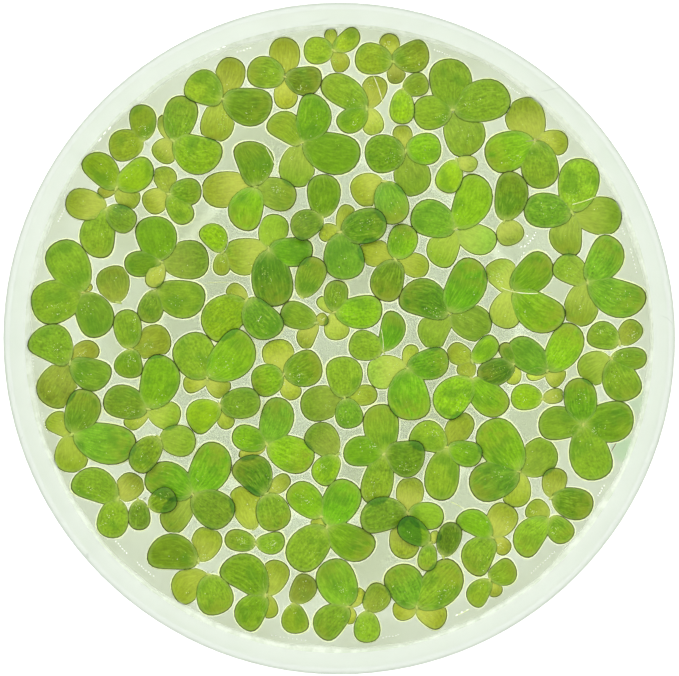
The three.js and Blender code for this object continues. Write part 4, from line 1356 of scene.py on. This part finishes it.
# %% Glints at the water's edge
# Rows of dashes: first and last angle in degrees, radius, how many, half length and half width.
DASH_ROWS = [
    (12.3, 17.4, 55.4, 7, 0.24, 0.06), (19.8, 21.6, 55.3, 3, 0.22, 0.07),
    (53.4, 56.4, 55.3, 6, 0.26, 0.06), (68.4, 72.0, 55.3, 7, 0.2, 0.07),
    (106.8, 109.8, 55.3, 5, 0.3, 0.07), (111.0, 113.1, 57.0, 2, 0.8, 0.07),
    (136.8, 141.0, 56.7, 3, 0.9, 0.07), (154.5, 157.5, 55.3, 6, 0.26, 0.1),
    (183.6, 185.4, 55.8, 3, 0.14, 0.07), (193.8, 198.0, 55.8, 8, 0.14, 0.06),
    (222.0, 225.6, 54.9, 6, 0.24, 0.09), (227.7, 232.2, 54.9, 8, 0.24, 0.09),
    (256.8, 264.0, 55.3, 9, 0.14, 0.07), (278.1, 281.6, 55.0, 6, 0.2, 0.07),
    (292.5, 295.8, 54.6, 3, 0.62, 0.07), (309.0, 315.6, 55.1, 11, 0.17, 0.07),
    (328.5, 331.2, 55.1, 5, 0.24, 0.09),
]
# Single dashes among the plants: place, direction in degrees, half length and half width.
SINGLE_DASHES = [
    (35.75, 19.3, -45, 0.12, 0.1), (35.5, 18.8, -45, 0.2, 0.11), (35.2, 18.25, -45, 0.2, 0.11),
    (34.8, 17.8, -45, 0.22, 0.12), (34.4, 17.3, -45, 0.2, 0.1), (34.2, 18.7, -55, 0.28, 0.12),
    (33.8, 16.8, 80, 0.26, 0.1), (33.1, 16.7, 45, 0.2, 0.09), (32.7, 16.9, 45, 0.13, 0.07),
    (33.6, 15.6, 85, 0.2, 0.1), (33.2, 14.9, 60, 0.14, 0.09), (29.0, 15.9, 45, 0.13, 0.09),
    (42.6, 21.0, -30, 0.22, 0.14),
]
DASH_RISE = 0.05
# How unevenly the dashes of a row lie: along the row, out and in, and in direction.
STEP_JITTER = 0.12
RADIUS_JITTER = 0.08
TILT_JITTER = 0.2
LENGTH_SHARES = (0.45, 0.65)
WIDTH_SHARE = 1.4


def dash_row(bm, row):
    first, last, radius, count, length, width = row
    for step in range(count):
        share = (step + 0.5 + rng.uniform(-STEP_JITTER, STEP_JITTER)) / count
        angle = math.radians(first + (last - first) * share)
        spot = radius + rng.uniform(-RADIUS_JITTER, RADIUS_JITTER)
        place = (spot * math.cos(angle), spot * math.sin(angle), water_height(spot) + DASH_RISE)
        tilt = angle + math.pi / 2 + rng.uniform(-TILT_JITTER, TILT_JITTER)
        add_dot(bm, place, length * rng.uniform(*LENGTH_SHARES), width * WIDTH_SHARE, tilt)


def single_dash(bm, row):
    x, y, degrees, length, width = row
    add_dot(bm, (x, y, WATER_TOP + DASH_RISE), length, width, math.radians(degrees))


glints = gathered(dash_row, DASH_ROWS)
for row in SINGLE_DASHES:
    single_dash(glints, row)
print("faces in the glints:", len(glints.faces))

# %% Glint material
# Painted highlights: white dashes that glow stand for the light that the ripples reflect.
glint_look = Sheet("painted_ripple_glints", Roughness=0.1, IOR=WATER_IOR, Emission_Strength=0.7)
GLINT_SOFT = srgb(240, 244, 232)
GLINT_WHITE = srgb(254, 255, 251)
glint_tone = glint_look.noise(glint_look.place(), 500, 1.0).smooth(0.35, 0.6)
glint_look.set_glowing(glint_look.mix(glint_tone, GLINT_SOFT, GLINT_WHITE))
make_piece("water_glints", glints, glint_look.material, "water")
print("glints ready")

# %% [markdown]
# ## Loose threads
#
# A few roots have come loose and lie on the fronds and the water as short pale threads, two of
# them reddish. Each is a thin tube that follows a soft curve over whatever it lies on.

# %% Loose threads
# The start, the bend and the end of each thread in plan, its half thickness, and how reddish.
THREADS = [
    ([(6.2, 47.9), (7.3, 45.6), (8.0, 42.6)], 0.1, 0.1),
    ([(42.4, 24.4), (44.6, 24.9), (46.9, 25.9)], 0.1, 0.0),
    ([(29.4, 9.3), (32.6, 7.7), (38.6, 8.4)], 0.1, 0.0),
    ([(7.6, 1.8), (8.1, 0.0), (8.0, -2.0)], 0.07, 0.0),
    ([(-14.0, 36.0), (-12.2, 33.0), (-10.8, 29.6)], 0.07, 0.0),
    ([(-25.0, 10.0), (-21.6, 10.4), (-18.5, 10.2)], 0.05, 0.1),
    ([(20.3, -29.7), (21.4, -30.2), (22.8, -31.0)], 0.08, 0.0),
    ([(21.2, -50.4), (22.6, -49.9), (23.8, -49.2)], 0.08, 0.0),
    ([(50.4, -19.0), (50.0, -19.7), (49.5, -20.6)], 0.07, 1.0),
    ([(33.9, 35.9), (35.4, 35.9), (36.8, 36.6)], 0.06, 0.6),
]
THREAD_SIDES = 5
THREAD_STEPS = 8
THREAD_TIP = 0.35
# How much of its half thickness a thread's middle stands above what it lies on.
THREAD_RISE = 0.5


def lying_height(x, y):
    """The height of whatever is uppermost at a place: a frond, or the water."""
    heights = [water_height(math.hypot(x, y))]
    for frond in all_fronds:
        u, v = plan_to_disc(frond, x, y)
        if math.hypot(u, v) < 1:
            heights.append(top_height(frond, float(u), float(v)))
    return max(heights)


def lay_thread(bm, row):
    (first, middle, last), thickness, red = row
    redness = bm.verts.layers.float.new("red")
    ring = bmesh.ops.create_circle(bm, cap_ends=True, segments=THREAD_SIDES, radius=1.0)["verts"]
    way = math.atan2(last[1] - first[1], last[0] - first[0])
    around = [math.atan2(vert.co.y, vert.co.x) for vert in ring]
    for step in range(THREAD_STEPS + 1):
        if step:
            ring, around = drawn_out_with(bm, ring, around)
        t = step / THREAD_STEPS
        x, y = (a * (1 - t) ** 2 + 2 * b * t * (1 - t) + c * t * t for a, b, c in zip(first, middle, last))
        size = thickness * (THREAD_TIP + (1 - THREAD_TIP) * math.sin(math.pi * (0.1 + 0.8 * t)))
        z = lying_height(x, y) + thickness * THREAD_RISE
        for vert, angle in zip(ring, around):
            aside, up = size * math.cos(angle), size * math.sin(angle)
            vert.co = Vector((x - aside * math.sin(way), y + aside * math.cos(way), z + up)) * MM
            vert[redness] = red
    bmesh.ops.contextual_create(bm, geom=ring)
    bmesh.ops.recalc_face_normals(bm, faces=bm.faces)


threads = gathered(lay_thread, THREADS)
print("faces in the threads:", len(threads.faces))

# %% Thread material
# Painted light: the threads glow a little, which keeps them bright.
thread_look = Sheet("loose_root", Roughness=0.4, IOR=1.4, Specular_IOR_Level=0.3, Emission_Strength=0.15)
THREAD_GREEN = srgb(214, 228, 134)
THREAD_PALE = srgb(246, 250, 208)
THREAD_RED = srgb(120, 66, 40)
along_thread = thread_look.noise(thread_look.place(), 900, 2.0)
pale_thread = thread_look.mix(along_thread.smooth(0.35, 0.6), THREAD_GREEN, THREAD_PALE)
thread_look.set_glowing(thread_look.mix(thread_look.attribute("red", 2), pale_thread, THREAD_RED))
make_piece("loose_threads", threads, thread_look.material, "duckweed")
print("threads:", len(THREADS))

# %% [markdown]
# ## Floor and light
#
# The bowl was photographed on an evenly bright white table, with light from all sides and no
# shadow. A white floor that glows and an even white surrounding do the same. One broad soft lamp
# and one small one add just enough direction for gloss and tiny glints.

# %% White table
TABLE_HALF = 1.5
TABLE_GREY = (0.5, 0.5, 0.5)
TABLE_GLOW = (1.0, 1.0, 1.0)
table_mesh = bpy.data.meshes.new("table")
table_bm = bmesh.new()
bmesh.ops.create_grid(table_bm, x_segments=1, y_segments=1, size=TABLE_HALF)
table_bm.to_mesh(table_mesh)
table_bm.free()
table = bpy.data.objects.new("table", table_mesh)
bpy.context.scene.collection.objects.link(table)
table_look = Sheet("white_table", Roughness=0.6, Emission_Strength=1.0)
table_look.set("Base Color", TABLE_GREY)
table_look.set("Emission Color", TABLE_GLOW)
table_mesh.materials.append(table_look.material)
print("table", 2 * TABLE_HALF, "m wide")

# %% Light
SURROUNDING_WHITE = (1.0, 1.0, 1.0, 1.0)
SURROUNDING_STRENGTH = 0.83
LAMP_TARGET = Vector((0, 0, 0.03))


def soft_lamp(name, place, size, watts):
    data = bpy.data.lights.new(name, "AREA")
    data.shape = "DISK"
    data.size = size
    data.energy = watts
    lamp = bpy.data.objects.new(name, data)
    lamp.location = place
    lamp.rotation_mode = "QUATERNION"
    lamp.rotation_quaternion = (LAMP_TARGET - Vector(place)).to_track_quat("-Z", "Y")
    bpy.context.scene.collection.objects.link(lamp)


world = bpy.data.worlds.new("even_white")
world.use_nodes = True
surrounding = world.node_tree.nodes["Background"]
surrounding.inputs["Color"].default_value = SURROUNDING_WHITE
surrounding.inputs["Strength"].default_value = SURROUNDING_STRENGTH
bpy.context.scene.world = world
soft_lamp("broad_lamp", place=(-0.35, 0.45, 0.75), size=0.35, watts=1.4)
soft_lamp("small_lamp", place=(0.3, 0.35, 0.7), size=0.05, watts=0.6)
bpy.context.scene.view_settings.view_transform = "Standard"
print("lights ready")
